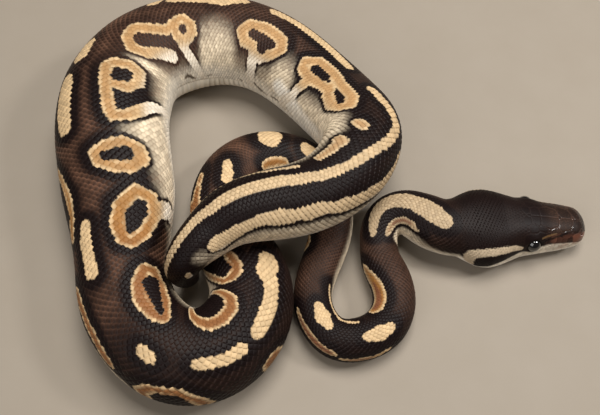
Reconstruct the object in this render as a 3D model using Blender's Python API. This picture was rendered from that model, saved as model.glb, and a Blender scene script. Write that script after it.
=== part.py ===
"""A coiled ball python, life size, at rest on the floor with its mouth closed.

The body is one tube drawn round a route of named bends. It is cut into short lengths with
thin gaps, so that each length is nearly straight. The head, the lower jaw and the two eyes
are solids of their own. Sizes are in millimetres until a mesh is made, which is in metres.
"""

import math

import bpy
import numpy as np

MM = 0.001
CENTRE = (5.082, 4.029)  # middle of the layout's outline, which becomes the origin
GAP = 0.3  # between neighbouring lengths
SINK = 0.05  # share of the body's height pressed flat on the floor
ROUNDNESS = 2.25  # 2 is an ellipse, higher is squarer
SIDES = 20  # round the body
RING_STEP = 5.0  # along the body, or the share below of its width where that is less
RING_SHARE = 0.27

# The body's route from the head to the tail tip: x, y and the clearance under the belly.
ROUTE = {
    "head_end": [(50.8, -10.86, 2.35)],
    "neck": [
        (46.8, -11.4, 2.6),
        (42.2, -10.9, 2.9),
        (37.0, -8.3, 3.0),
        (31.8, -6.3, 2.8),
        (27.4, -7.3, 2.0),
        (24.6, -10.9, 1.2),
    ],
    "small_loop": [
        (23.9, -15.6, 0.4),
        (24.4, -20.8, 0.0),
        (26.5, -26.8, 0.0),
        (27.5, -34.3, 0.0),
        (24.3, -41.7, 0.0),
        (17.4, -45.5, 0.0),
        (10.2, -45.1, 0.0),
        (5.3, -39.7, 0.0),
        (3.8, -32.0, 0.0),
        (5.4, -24.5, 0.0),
        (8.2, -16.4, 0.0),
    ],
    "arch": [
        (9.7, -8.2, 0.0),
        (8.6, 0.3, 0.0),
        (4.3, 9.6, 0.0),
        (-3.6, 14.3, 0.0),
        (-12.9, 14.3, 0.0),
        (-20.5, 9.0, 0.0),
        (-23.7, -0.2, 0.0),
        (-22.7, -9.4, 0.0),
        (-19.3, -18.9, 0.0),
    ],
    "lower_loop": [
        (-15.1, -28.0, 0.0),
        (-14.2, -37.4, 0.0),
        (-18.6, -46.6, 0.0),
        (-26.5, -51.7, 0.0),
        (-35.3, -51.1, 0.0),
        (-42.9, -45.8, 0.0),
        (-48.6, -37.6, 0.0),
        (-51.5, -27.5, 0.0),
    ],
    "great_loop": [
        (-53.2, -15.0, 0.0),
        (-55.3, -0.8, 0.0),
        (-58.6, 15.3, 0.0),
        (-59.2, 32.5, 0.0),
        (-52.7, 48.0, 0.0),
        (-39.4, 56.0, 0.0),
        (-25.4, 57.9, 0.0),
        (-12.2, 54.2, 0.0),
        (-0.9, 45.5, 0.5),
        (8.0, 35.1, 2.0),
    ],
    "crossing": [
        (14.7, 25.0, 5.0),
        (18.8, 14.4, 9.5),
        (15.8, 3.2, 12.6),
        (7.8, -5.9, 14.4),
        (-1.6, -10.9, 16.2),
        (-11.0, -13.6, 18.0),
        (-19.4, -16.8, 19.1),
        (-25.7, -21.8, 19.3),
    ],
    "tail": [
        (-30.5, -26.9, 19.0),
        (-33.5, -29.6, 14.8),
        (-33.0, -28.6, 9.0),
        (-33.2, -25.6, 3.2),
        (-34.0, -20.4, 0.0),
        (-34.8, -15.5, 0.0),
        (-35.4, -11.5, 0.0),
    ],
}

# Distance from the neck joint, width, height.
GIRTH = [
    (0.0, 18.6, 14.0),
    (5.0, 17.0, 13.7),
    (9.0, 16.2, 13.4),
    (13.0, 14.8, 12.8),
    (20.0, 13.0, 12.0),
    (30.0, 11.4, 11.2),
    (42.0, 12.5, 11.8),
    (62.0, 12.4, 11.8),
    (85.0, 11.2, 11.2),
    (114.0, 13.4, 12.0),
    (134.0, 15.5, 13.2),
    (156.0, 18.0, 15.0),
    (196.0, 23.4, 19.2),
    (221.0, 25.6, 22.2),
    (242.0, 27.0, 23.6),
    (268.0, 26.6, 24.0),
    (297.0, 34.0, 27.5),
    (327.0, 35.4, 30.0),
    (342.0, 33.3, 29.0),
    (364.0, 31.4, 28.0),
    (379.0, 29.4, 26.6),
    (391.0, 27.9, 25.6),
    (409.0, 26.4, 24.5),
    (431.0, 25.6, 23.7),
    (451.0, 23.4, 21.8),
    (466.0, 21.4, 20.2),
    (481.0, 20.4, 19.0),
    (494.0, 18.0, 16.4),
    (504.0, 14.8, 13.4),
    (513.0, 11.2, 10.8),
    (519.0, 8.4, 8.4),
    (524.0, 7.2, 7.2),
    (529.0, 6.2, 6.2),
    (533.0, 4.4, 4.4),
    (536.0, 2.0, 2.0),
]
TUCK = 500.0  # past here the section is carried along, as the tail turns down and under

# Where one length ends and the next begins.
NECK_CUTS = [0.0, 13.0, 25.0]
TRUNK_CUTS = [25, 36, 47, 58, 69, 80, 92, 105, 119, 134, 149, 165, 181, 197, 213, 229, 246]
TRUNK_CUTS += [263, 281, 301, 321, 341, 361, 381, 400, 418, 435, 451, 467, 481]
TAIL_CUTS = [481, 493, 504, 513, 522, 535.6]

# Head sections: distance from the neck joint, half width, crown, widest level, chin, squareness.
HEAD_SECTIONS = [
    (0.0, 9.3, 7.0, 0.0, -7.1, 2.25),
    (3.0, 11.0, 7.3, -1.0, -7.2, 2.3),
    (6.0, 12.3, 7.6, -1.7, -7.3, 2.35),
    (9.0, 12.6, 7.7, -2.1, -7.3, 2.4),
    (12.0, 12.05, 7.6, -2.4, -7.2, 2.45),
    (16.0, 10.5, 7.3, -2.7, -7.0, 2.5),
    (20.0, 9.0, 6.9, -2.8, -6.7, 2.5),
    (24.0, 8.4, 6.3, -2.8, -6.6, 2.5),
    (28.0, 7.9, 5.4, -2.7, -6.3, 2.5),
    (32.0, 7.4, 4.5, -2.5, -5.9, 2.5),
    (36.0, 6.6, 3.6, -2.1, -5.3, 2.45),
    (39.0, 6.0, 3.0, -1.8, -4.5, 2.4),
    (42.0, 5.3, 2.4, -1.5, -4.1, 2.3),
]
HEAD_LENGTH = 40.8
SNOUT_ROUNDING = 5.0  # length of the rounded tip
LOWER_SQUARENESS = 2.3
MOUTH_LINE = [(9.5, -4.7), (14, -4.4), (20, -4.0), (26, -3.5), (32, -3.1), (38, -2.9), (42, -2.8)]
JAW_HINGE = 9.6
JAW_LENGTH = 30.0
JAW_SHARE = 0.975  # of the upper lip's width
BROW = (22.6, 2.6, 0.8)  # place, reach and height of the ridge over the eye
EYE_PLACE = (22.6, 6.95, 1.3)
EYE_RADIUS = 2.3
EYE_CLEARANCE = 0.3

COLOURS = {
    "crown_brown": ((0.035, 0.024, 0.020), 0.42),
    "jaw_cream": ((0.48, 0.42, 0.34), 0.5),
    "eye_black": ((0.012, 0.010, 0.010), 0.08),
    "neck_brown": ((0.045, 0.032, 0.027), 0.48),
    "trunk_brown": ((0.060, 0.042, 0.034), 0.48),
    "tail_brown": ((0.040, 0.029, 0.025), 0.48),
}


def clear_scene():
    for thing in list(bpy.data.objects):
        bpy.data.objects.remove(thing, do_unlink=True)


def natural_spline(knots, values, x):
    """Smooth curve through rows of values, straight at both ends."""
    count = len(knots)
    width = np.diff(knots)
    system = np.zeros((count, count))
    right = np.zeros((count, values.shape[1]))
    system[0, 0] = 1.0
    system[-1, -1] = 1.0
    for i in range(1, count - 1):
        system[i, i - 1] = width[i - 1]
        system[i, i] = 2 * (width[i - 1] + width[i])
        system[i, i + 1] = width[i]
        after = (values[i + 1] - values[i]) / width[i]
        before = (values[i] - values[i - 1]) / width[i - 1]
        right[i] = 6 * (after - before)
    bend = np.linalg.solve(system, right)
    k = np.clip(np.searchsorted(knots, x, side="right") - 1, 0, count - 2)
    span = width[k][:, None]
    a = (knots[k + 1] - x)[:, None] / span
    b = (x - knots[k])[:, None] / span
    curve = (a**3 - a) * bend[k] + (b**3 - b) * bend[k + 1]
    return a * values[k] + b * values[k + 1] + curve * span**2 / 6


def smooth_steps(rows, x):
    """Values between the rows of a table, with no overshoot."""
    table = np.array(rows, float)
    place = table[:, 0]
    value = table[:, 1:]
    slope = np.diff(value, axis=0) / np.diff(place)[:, None]
    lean = np.zeros_like(value)
    lean[0] = slope[0]
    lean[-1] = slope[-1]
    product = slope[1:] * slope[:-1]
    total = slope[1:] + slope[:-1]
    safe = np.where(product > 0, total, 1.0)
    lean[1:-1] = np.where(product > 0, 2 * product / safe, 0.0)
    x = np.clip(np.atleast_1d(np.asarray(x, float)), place[0], place[-1])
    k = np.clip(np.searchsorted(place, x, side="right") - 1, 0, len(place) - 2)
    span = (place[k + 1] - place[k])[:, None]
    u = (x - place[k])[:, None] / span
    start = (2 * u**3 - 3 * u**2 + 1) * value[k] + (u**3 - 2 * u**2 + u) * span * lean[k]
    end = (3 * u**2 - 2 * u**3) * value[k + 1] + (u**3 - u**2) * span * lean[k + 1]
    return start + end


def route_axis():
    """Distance along the body, place of its middle line, and its width and height."""
    points = np.array([point for bend in ROUTE.values() for point in bend], float)
    chord = np.r_[0, np.cumsum(np.linalg.norm(np.diff(points, axis=0), axis=1))]
    fine = np.linspace(0, chord[-1], 6000)
    line = natural_spline(chord, points, fine)
    along = np.r_[0, np.cumsum(np.linalg.norm(np.diff(line, axis=0), axis=1))]
    along = along - np.interp(chord[1], fine, along)
    girth = smooth_steps(GIRTH, along)
    line[:, 2] = np.maximum(line[:, 2], 0) + girth[:, 1] * (0.5 - SINK)
    line[:, 0] -= CENTRE[0]
    line[:, 1] -= CENTRE[1]
    return along, line, girth


def route_frames(along, line):
    """Directions along, to the snake's left and up, at every point of the middle line."""
    forward = np.gradient(line, axis=0)
    forward /= np.linalg.norm(forward, axis=1)[:, None]
    side = np.cross(forward, [0.0, 0.0, 1.0])
    side /= np.linalg.norm(side, axis=1)[:, None]
    for i in range(1, len(along)):
        if along[i] > TUCK:
            carried = side[i - 1] - forward[i] * (side[i - 1] @ forward[i])
            side[i] = carried / np.linalg.norm(carried)
    return forward, side, np.cross(side, forward)


def unit_section(angle, squareness):
    """Rounded square of half size 1: sideways and upward reach at an angle from the top."""
    reach = np.abs(np.cos(angle)) ** squareness + np.abs(np.sin(angle)) ** squareness
    reach = reach ** (-1 / squareness)
    return reach * np.sin(angle), reach * np.cos(angle)


def mesh_object(name, points, faces, material, collection):
    mesh = bpy.data.meshes.new(name)
    mesh.from_pydata([tuple(point * MM) for point in points], [], faces)
    mesh.shade_smooth()
    mesh.set_sharp_from_angle(angle=math.radians(40))
    mesh.materials.append(material)
    thing = bpy.data.objects.new(name, mesh)
    collection.objects.link(thing)
    return thing


def loft(rings, first_centre, last_centre):
    """Points and faces of a closed tube through equal rings, with a fan over each end."""
    count, sides = rings.shape[:2]
    points = list(rings.reshape(-1, 3)) + [first_centre, last_centre]
    first = count * sides
    last = first + 1
    faces = []
    for k in range(sides):
        n = (k + 1) % sides
        for row in range(count - 1):
            low = row * sides
            high = low + sides
            faces.append((low + k, low + n, high + n, high + k))
        faces.append((first, n, k))
        top = (count - 1) * sides
        faces.append((last, top + k, top + n))
    return points, faces


def facing_out(points, faces):
    """The faces, all turned round if the solid came out inside out."""
    volume = 0.0
    for face in faces:
        a = points[face[0]]
        for i in range(1, len(face) - 1):
            volume += np.dot(a, np.cross(points[face[i]], points[face[i + 1]]))
    if volume > 0:
        return faces
    return [tuple(reversed(face)) for face in faces]


def body_length(name, start, end, body, material, collection):
    """One length of the body, from start to end less half a gap at each."""
    along, line, girth, side, up = body
    start = start + GAP / 2
    end = end - GAP / 2
    middle = int(np.argmin(np.abs(along - (start + end) / 2)))
    step = min(RING_STEP, RING_SHARE * girth[middle, 0])
    count = max(3, int(round((end - start) / step)) + 1)
    stations = np.linspace(start, end, count)
    angle = np.linspace(0, 2 * math.pi, SIDES, endpoint=False)
    across, rise = unit_section(angle, ROUNDNESS)
    rings = np.zeros((count, SIDES, 3))
    centres = np.zeros((count, 3))
    for row, station in enumerate(stations):
        k = int(np.argmin(np.abs(along - station)))
        wide = across[:, None] * side[k] * girth[k, 0] / 2
        high = rise[:, None] * up[k] * girth[k, 1] / 2
        rings[row] = line[k] + wide + high
        centres[row] = line[k]
    rings[..., 2] = np.maximum(rings[..., 2], 0)
    points, faces = loft(rings, centres[0], centres[-1])
    return mesh_object(name, points, facing_out(points, faces), material, collection)


def head_measures(x):
    """Half width, crown, widest level, chin and squareness of the head at a distance x."""
    half, crown, widest, chin, square = smooth_steps(HEAD_SECTIONS, x)[0]
    tip = max(0.0, (x - (HEAD_LENGTH - SNOUT_ROUNDING)) / SNOUT_ROUNDING)
    shrink = max(0.0, 1 - min(tip, 1.0) ** 2.6) ** 0.45
    middle = widest + 0.3
    crown = middle + (crown - middle) * shrink
    chin = middle + (chin - middle) * shrink
    widest = middle + (widest - middle) * shrink
    return half * shrink, crown, widest, chin, square


def brow_push(x, y, z, angle):
    """The ridge over the eye, added to a point of the head's section."""
    lean = np.abs(np.remainder(angle + math.pi, 2 * math.pi) - math.pi)
    place, reach, height = BROW
    push = height * math.exp(-(((x - place) / reach) ** 2))
    push = push * np.exp(-(((lean - 0.95) / 0.3) ** 2))
    return y + np.sign(y) * push, z + 0.5 * push


def mouth_level(x):
    return float(smooth_steps(MOUTH_LINE, x)[0, 0])


def edge_angle(level, widest, chin):
    """Angle from the top at which the lower half of a section reaches a level."""
    share = min(max((widest - level) / (widest - chin), 0.02), 0.995)
    reach = (1 - share**LOWER_SQUARENESS) ** (1 / LOWER_SQUARENESS)
    return math.pi - math.atan2(reach, share)


def head_arc(x, from_angle, to_angle, count):
    """Points of the head's section between two angles, in the section's own plane."""
    half, crown, widest, chin, square = head_measures(x)
    angle = np.linspace(from_angle, to_angle, count)
    over = np.cos(angle) >= 0
    top_y, top_z = unit_section(angle, square)
    low_y, low_z = unit_section(angle, LOWER_SQUARENESS)
    y = half * np.where(over, top_y, low_y)
    z = widest + np.where(over, top_z * (crown - widest), low_z * (widest - chin))
    return brow_push(x, y, z, angle)


def closed_section(x, y, z, flat_count, level):
    """A ring: the given arc, then a flat run back along the level."""
    back = np.linspace(y[-1], y[0], flat_count + 2)[1:-1]
    ring_y = np.r_[y, back]
    ring_z = np.r_[z, np.full(flat_count, level)]
    return np.stack([np.full(len(ring_y), x), ring_y, ring_z], axis=1)


def to_body(points, joint):
    """Head coordinates to the layout's: forward, left and up from the neck joint."""
    origin, ahead, left, up = joint
    return origin + points[..., :1] * ahead + points[..., 1:2] * left + points[..., 2:] * up


def skull_rings():
    """Rings of the head above the mouth; behind the jaw hinge they are whole."""
    stations = [GAP / 2, 1.5, 3.5, 6, 8, JAW_HINGE - 0.4, JAW_HINGE - 0.1, 12, 14.5, 17, 19.5]
    stations += [21.5, 23.2, 25, 27, 29.5, 32, 34.5, 36.8, 38.2, 39.2, 39.9, 40.35, 40.6, 40.73]
    rings = []
    for x in stations:
        half, crown, widest, chin, square = head_measures(x)
        level = chin + 0.005 * (widest - chin)
        if x > JAW_HINGE - 0.2:
            level = max(level, mouth_level(x) + GAP / 2)
        edge = edge_angle(level, widest, chin)
        y, z = head_arc(x, -edge, edge, 33)
        z[0] = level
        z[-1] = level
        rings.append(closed_section(x, y, z, 5, level))
    return np.array(rings)


def jaw_rings():
    """Rings of the lower jaw, below the mouth and a little narrower than the lip."""
    rings = []
    for x in JAW_HINGE + 0.2 + JAW_LENGTH * np.sin(np.linspace(0, math.pi / 2, 15)):
        half, crown, widest, chin, square = head_measures(x)
        level = min(mouth_level(x) - GAP / 2, widest - 0.1)
        edge = edge_angle(level, widest, chin)
        y, z = head_arc(x, edge, 2 * math.pi - edge, 17)
        z[0] = level
        z[-1] = level
        rings.append(closed_section(x, y * JAW_SHARE, z, 5, level))
    return np.array(rings)


def head_solid(name, rings, joint, material, collection):
    placed = to_body(rings, joint)
    first = placed[0].mean(axis=0)
    last = placed[-1].mean(axis=0)
    points, faces = loft(placed, first, last)
    return mesh_object(name, points, facing_out(points, faces), material, collection)


def ball(name, centre, radius, material, collection):
    bpy.ops.mesh.primitive_uv_sphere_add(segments=16, ring_count=10, radius=radius * MM)
    thing = bpy.context.object
    thing.name = name
    thing.data.name = name
    thing.location = [value * MM for value in centre]
    for holder in list(thing.users_collection):
        holder.objects.unlink(thing)
    collection.objects.link(thing)
    thing.data.shade_smooth()
    thing.data.materials.append(material)
    return thing


def cut_socket(head, cutter):
    cutter.hide_render = True
    cutter.hide_viewport = True
    cut = head.modifiers.new("socket_" + cutter.name, "BOOLEAN")
    cut.operation = "DIFFERENCE"
    cut.solver = "EXACT"
    cut.object = cutter


def plain_material(name):
    colour, roughness = COLOURS[name]
    material = bpy.data.materials.new(name)
    material.use_nodes = True
    surface = material.node_tree.nodes["Principled BSDF"]
    surface.inputs["Base Color"].default_value = (*colour, 1.0)
    surface.inputs["Roughness"].default_value = roughness
    surface.inputs["Metallic"].default_value = 0.0
    return material


def head_joint(body_line, frames, along):
    """Place and directions of the head at the neck joint."""
    k = int(np.argmin(np.abs(along)))
    forward, side, up = frames
    return body_line[k], -forward[k], side[k], up[k]


def build_head(joint, materials, solids, cutters):
    head = head_solid("head", skull_rings(), joint, materials["crown_brown"], solids)
    head_solid("lower_jaw", jaw_rings(), joint, materials["jaw_cream"], solids)
    for name, hand in (("left", 1), ("right", -1)):
        place = np.array([EYE_PLACE[0], hand * EYE_PLACE[1], EYE_PLACE[2]])
        centre = to_body(place, joint)
        ball("eye_" + name, centre, EYE_RADIUS, materials["eye_black"], solids)
        hollow = EYE_RADIUS + EYE_CLEARANCE
        cutter = ball("hollow_" + name, centre, hollow, materials["eye_black"], cutters)
        cut_socket(head, cutter)


def build_body(body, materials, solids):
    for i in range(len(NECK_CUTS) - 1):
        name = "neck_%d" % (i + 1)
        start, end = NECK_CUTS[i : i + 2]
        body_length(name, start, end, body, materials["neck_brown"], solids)
    for i in range(len(TRUNK_CUTS) - 1):
        name = "trunk_%02d" % (i + 1)
        start, end = TRUNK_CUTS[i : i + 2]
        body_length(name, start, end, body, materials["trunk_brown"], solids)
    for i in range(len(TAIL_CUTS) - 1):
        name = "tail_%d" % (i + 1)
        start, end = TAIL_CUTS[i : i + 2]
        body_length(name, start, end, body, materials["tail_brown"], solids)


def main():
    clear_scene()
    solids = bpy.data.collections.new("coiled_ball_python")
    cutters = bpy.data.collections.new("cutters")
    bpy.context.scene.collection.children.link(solids)
    bpy.context.scene.collection.children.link(cutters)
    cutters.hide_render = True
    materials = {name: plain_material(name) for name in COLOURS}
    along, line, girth = route_axis()
    forward, side, up = route_frames(along, line)
    joint = head_joint(line, (forward, side, up), along)
    build_head(joint, materials, solids, cutters)
    build_body((along, line, girth, side, up), materials, solids)


main()
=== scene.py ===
"""Looks of the coiled ball python: one skin over head, neck, trunk and tail, the scales that lie
on it, the wide plates under the belly, and the two eyes.

A place on the snake is given by its distance s along the body in millimetres, from the neck
joint at 0 (the head is at negative s) to the tail tip, and by an angle round the body in
degrees, 0 on the middle of the back and positive to the snake's left. Lengths are in
millimetres until a mesh is made, which is in metres.
"""

import math

import bpy
import numpy as np
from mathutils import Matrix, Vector


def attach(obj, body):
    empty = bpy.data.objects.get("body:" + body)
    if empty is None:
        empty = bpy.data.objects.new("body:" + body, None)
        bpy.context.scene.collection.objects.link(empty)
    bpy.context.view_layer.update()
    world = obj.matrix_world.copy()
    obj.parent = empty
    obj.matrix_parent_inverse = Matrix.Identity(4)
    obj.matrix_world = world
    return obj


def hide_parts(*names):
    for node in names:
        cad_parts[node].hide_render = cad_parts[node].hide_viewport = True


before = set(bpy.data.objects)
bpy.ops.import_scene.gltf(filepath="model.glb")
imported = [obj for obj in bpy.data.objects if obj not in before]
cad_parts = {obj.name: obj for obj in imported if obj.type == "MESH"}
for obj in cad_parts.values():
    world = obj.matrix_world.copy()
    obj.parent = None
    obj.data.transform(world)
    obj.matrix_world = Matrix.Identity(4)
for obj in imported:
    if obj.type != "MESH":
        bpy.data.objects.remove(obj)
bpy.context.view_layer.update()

MM = 0.001
CENTRE = (5.082, 4.029)  # the footprint's middle in the route's numbers, mm
SINK = 0.05  # of the body's height, that its weight presses flat
ROUNDNESS = 2.25  # of the body's section: 2 is an ellipse, and more is squarer

# ---------------------------------------------------------------- the body's route and girth

ROUTE = [
    # head end and neck
    (50.8, -10.86, 2.35), (46.8, -11.4, 2.6), (42.2, -10.9, 2.9), (37.0, -8.3, 3.0),
    (31.8, -6.3, 2.8), (27.4, -7.3, 2.0), (24.6, -10.9, 1.2),
    # small loop
    (23.9, -15.6, 0.4), (24.4, -20.8, 0), (26.5, -26.8, 0), (27.5, -34.3, 0), (24.3, -41.7, 0),
    (17.4, -45.5, 0), (10.2, -45.1, 0), (5.3, -39.7, 0), (3.8, -32.0, 0), (5.4, -24.5, 0),
    (8.2, -16.4, 0),
    # arch
    (9.7, -8.2, 0), (8.6, 0.3, 0), (4.3, 9.6, 0), (-3.6, 14.3, 0), (-12.9, 14.3, 0),
    (-20.5, 9.0, 0), (-23.7, -0.2, 0), (-22.7, -9.4, 0), (-19.3, -18.9, 0),
    # lower loop
    (-15.1, -28.0, 0), (-14.2, -37.4, 0), (-18.6, -46.6, 0), (-26.5, -51.7, 0),
    (-35.3, -51.1, 0), (-42.9, -45.8, 0), (-48.6, -37.6, 0), (-51.5, -27.5, 0),
    # great loop
    (-53.2, -15.0, 0), (-55.3, -0.8, 0), (-58.6, 15.3, 0), (-59.2, 32.5, 0), (-52.7, 48.0, 0),
    (-39.4, 56.0, 0), (-25.4, 57.9, 0), (-12.2, 54.2, 0), (-0.9, 45.5, 0.5), (8.0, 35.1, 2.0),
    # crossing
    (14.7, 25.0, 5.0), (18.8, 14.4, 9.5), (15.8, 3.2, 12.6), (7.8, -5.9, 14.4),
    (-1.6, -10.9, 16.2), (-11.0, -13.6, 18.0), (-19.4, -16.8, 19.1), (-25.7, -21.8, 19.3),
    # tail
    (-30.5, -26.9, 19.0), (-33.5, -29.6, 14.8), (-33.0, -28.6, 9.0), (-33.2, -25.6, 3.2),
    (-34.0, -20.4, 0), (-34.8, -15.5, 0), (-35.4, -11.5, 0),
]
GIRTH = [
    (0, 18.6, 14.0), (5, 17.0, 13.7), (9, 16.2, 13.4), (13, 14.8, 12.8), (20, 13.0, 12.0),
    (30, 11.4, 11.2), (42, 12.5, 11.8), (62, 12.4, 11.8), (85, 11.2, 11.2), (114, 13.4, 12.0),
    (134, 15.5, 13.2), (156, 18.0, 15.0), (196, 23.4, 19.2), (221, 25.6, 22.2),
    (242, 27.0, 23.6), (268, 26.6, 24.0), (297, 34.0, 27.5), (327, 35.4, 30.0),
    (342, 33.3, 29.0), (364, 31.4, 28.0), (379, 29.4, 26.6), (391, 27.9, 25.6),
    (409, 26.4, 24.5), (431, 25.6, 23.7), (451, 23.4, 21.8), (466, 21.4, 20.2),
    (481, 20.4, 19.0), (494, 18.0, 16.4), (504, 14.8, 13.4), (513, 11.2, 10.8),
    (519, 8.4, 8.4), (524, 7.2, 7.2), (529, 6.2, 6.2), (533, 4.4, 4.4), (536, 2.0, 2.0),
]
TUCK = 500.0  # where the tail begins to turn under
TAIL_TIP = 535.4
# How far the back leans from straight up, in degrees towards the snake's left.
ROLL = [
    (-14, 0), (0, 20), (20, 22), (33, 6), (60, -18), (75, -14), (92, -12), (114, -16),
    (134, -20), (150, 24), (166, 24), (187, 0), (207, -26), (232, -26), (257, -22), (282, -26),
    (317, -46), (345, -48), (380, -44), (405, -42), (430, -42), (450, -32), (463, 2), (477, 12),
    (500, 14), (536, 14),
]

# ---------------------------------------------------------------- the head

HEAD_SECTIONS = [
    # distance, half width, crown, widest level, chin, squareness
    (0.0, 9.3, 7.0, 0.0, -7.1, 2.25), (3.0, 11.0, 7.3, -1.0, -7.2, 2.3),
    (6.0, 12.3, 7.6, -1.7, -7.3, 2.35), (9.0, 12.6, 7.7, -2.1, -7.3, 2.4),
    (12.0, 12.05, 7.6, -2.4, -7.2, 2.45), (16.0, 10.5, 7.3, -2.7, -7.0, 2.5),
    (20.0, 9.0, 6.9, -2.8, -6.7, 2.5), (24.0, 8.4, 6.3, -2.8, -6.6, 2.5),
    (28.0, 7.9, 5.4, -2.7, -6.3, 2.5), (32.0, 7.4, 4.5, -2.5, -5.9, 2.5),
    (36.0, 6.6, 3.6, -2.1, -5.3, 2.45), (39.0, 6.0, 3.0, -1.8, -4.5, 2.4),
    (42.0, 5.3, 2.4, -1.5, -4.1, 2.3),
]
HEAD_LENGTH = 40.8
SNOUT_ROUNDING = 5.0
LOWER_SQUARENESS = 2.3
MOUTH_LINE = [(9.5, -4.7), (14, -4.4), (20, -4.0), (26, -3.5), (32, -3.1), (38, -2.9), (42, -2.8)]
BROW = (22.6, 2.6, 0.8)  # its place, half length and height
EYE_PLACE = (22.6, 6.95, 1.3)  # ahead of the neck joint, sideways and up
EYE_RADIUS = 2.3

# ---------------------------------------------------------------- the coat

SKIN_DEPTH = 0.24  # of the skin under the scales' crests
BELLY_EDGE = 140.0  # the wide belly plates begin here, in degrees from the back
FIRST_SCALE = -15.0
LAST_SCALE = 534.0
SCALE_PITCH = [
    (-15, 0.85), (0, 1.02), (48, 1.26), (100, 1.16), (160, 1.26), (200, 1.38), (235, 1.47),
    (253, 1.62), (285, 1.78), (308, 1.74), (338, 1.44), (372, 1.42), (430, 1.38), (477, 1.28),
    (500, 1.1), (534, 0.7),
]
# Degrees round the body from one lengthwise row of scales to the next.
ROW_STEP = [
    (-15, 4.1), (-6, 4.6), (3, 5.8), (20, 6.8), (48, 7.3), (110, 6.3), (160, 5.6), (210, 5.2),
    (253, 5.0), (300, 4.65), (380, 4.7), (430, 5.2), (477, 6.9), (505, 8.6), (534, 11.0),
]
SCALES_IN_PIECE = 4700


def natural_spline(knots, values, x):
    """Smooth curve through rows of values, straight at both ends."""
    width = np.diff(knots)
    slope = np.diff(values, axis=0) / width[:, None]
    system = np.diag(np.r_[1.0, 2 * (width[:-1] + width[1:]), 1.0])
    system += np.diag(np.r_[width[:-1], 0.0], -1) + np.diag(np.r_[0.0, width[1:]], 1)
    bend = np.linalg.solve(system, 6 * np.pad(np.diff(slope, axis=0), ((1, 1), (0, 0))))
    k = np.clip(np.searchsorted(knots, x, side="right") - 1, 0, len(knots) - 2)
    span = width[k][:, None]
    a = (knots[k + 1] - x)[:, None] / span
    b = (x - knots[k])[:, None] / span
    curve = (a**3 - a) * bend[k] + (b**3 - b) * bend[k + 1]
    return a * values[k] + b * values[k + 1] + curve * span**2 / 6


def smooth_steps(rows, x):
    """Values between the rows of a table, with no overshoot: one row for each x."""
    rows = np.array(rows, float)
    place, value = rows[:, 0], rows[:, 1:]
    slope = np.diff(value, axis=0) / np.diff(place)[:, None]
    product = slope[1:] * slope[:-1]
    total = np.where(product > 0, slope[1:] + slope[:-1], 1.0)
    lean = np.vstack([slope[:1], np.where(product > 0, 2 * product / total, 0.0), slope[-1:]])
    x = np.clip(np.atleast_1d(np.asarray(x, float)), place[0], place[-1])
    k = np.clip(np.searchsorted(place, x, side="right") - 1, 0, len(place) - 2)
    span = (place[k + 1] - place[k])[:, None]
    u = (x - place[k])[:, None] / span
    start = (2 * u**3 - 3 * u**2 + 1) * value[k] + (u**3 - 2 * u**2 + u) * span * lean[k]
    end = (3 * u**2 - 2 * u**3) * value[k + 1] + (u**3 - u**2) * span * lean[k + 1]
    return start + end


def table(rows, x):
    """The same for a table with one value in each row."""
    return smooth_steps(rows, x)[:, 0]


def smooth(low, high, x):
    """0 below low, 1 above high, with an even slope between."""
    t = np.clip((x - low) / (high - low), 0.0, 1.0)
    return t * t * (3 - 2 * t)


def within(x, start, full, fade, end):
    """0 outside start and end, and 1 between full and fade."""
    return smooth(start, full, x) * (1 - smooth(fade, end, x))


class Body:
    """The tube's middle line, directions and girth, looked up by distance from the neck joint."""

    def __init__(self):
        points = np.array(ROUTE, float)
        chord = np.r_[0, np.cumsum(np.linalg.norm(np.diff(points, axis=0), axis=1))]
        fine = np.linspace(0, chord[-1], 6000)
        line = natural_spline(chord, points, fine)
        along = np.r_[0, np.cumsum(np.linalg.norm(np.diff(line, axis=0), axis=1))]
        along = along - np.interp(chord[1], fine, along)
        girth = smooth_steps(GIRTH, along)
        line[:, 2] = np.maximum(line[:, 2], 0) + girth[:, 1] * (0.5 - SINK)
        line[:, :2] -= CENTRE
        forward = np.gradient(line, axis=0)
        forward /= np.linalg.norm(forward, axis=1)[:, None]
        side = np.cross(forward, [0.0, 0.0, 1.0])
        side /= np.linalg.norm(side, axis=1)[:, None]
        for i in range(1, len(along)):
            if along[i] > TUCK:
                carried = side[i - 1] - forward[i] * (side[i - 1] @ forward[i])
                side[i] = carried / np.linalg.norm(carried)
        self.along = along
        self.rows = np.hstack([line, side, np.cross(side, forward), girth])
        k = int(np.argmin(np.abs(along)))
        self.joint = line[k], -forward[k], side[k], np.cross(side[k], forward[k])

    def at(self, s):
        found = [np.interp(s, self.along, column) for column in self.rows.T]
        return np.stack(found, axis=-1)


BODY = Body()


def polar_reach(angle, squareness):
    """Across and up of the rim of a squared ellipse of half size 1."""
    reach = np.abs(np.cos(angle)) ** squareness + np.abs(np.sin(angle)) ** squareness
    reach = reach ** (-1 / squareness)
    return reach * np.sin(angle), reach * np.cos(angle)


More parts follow.
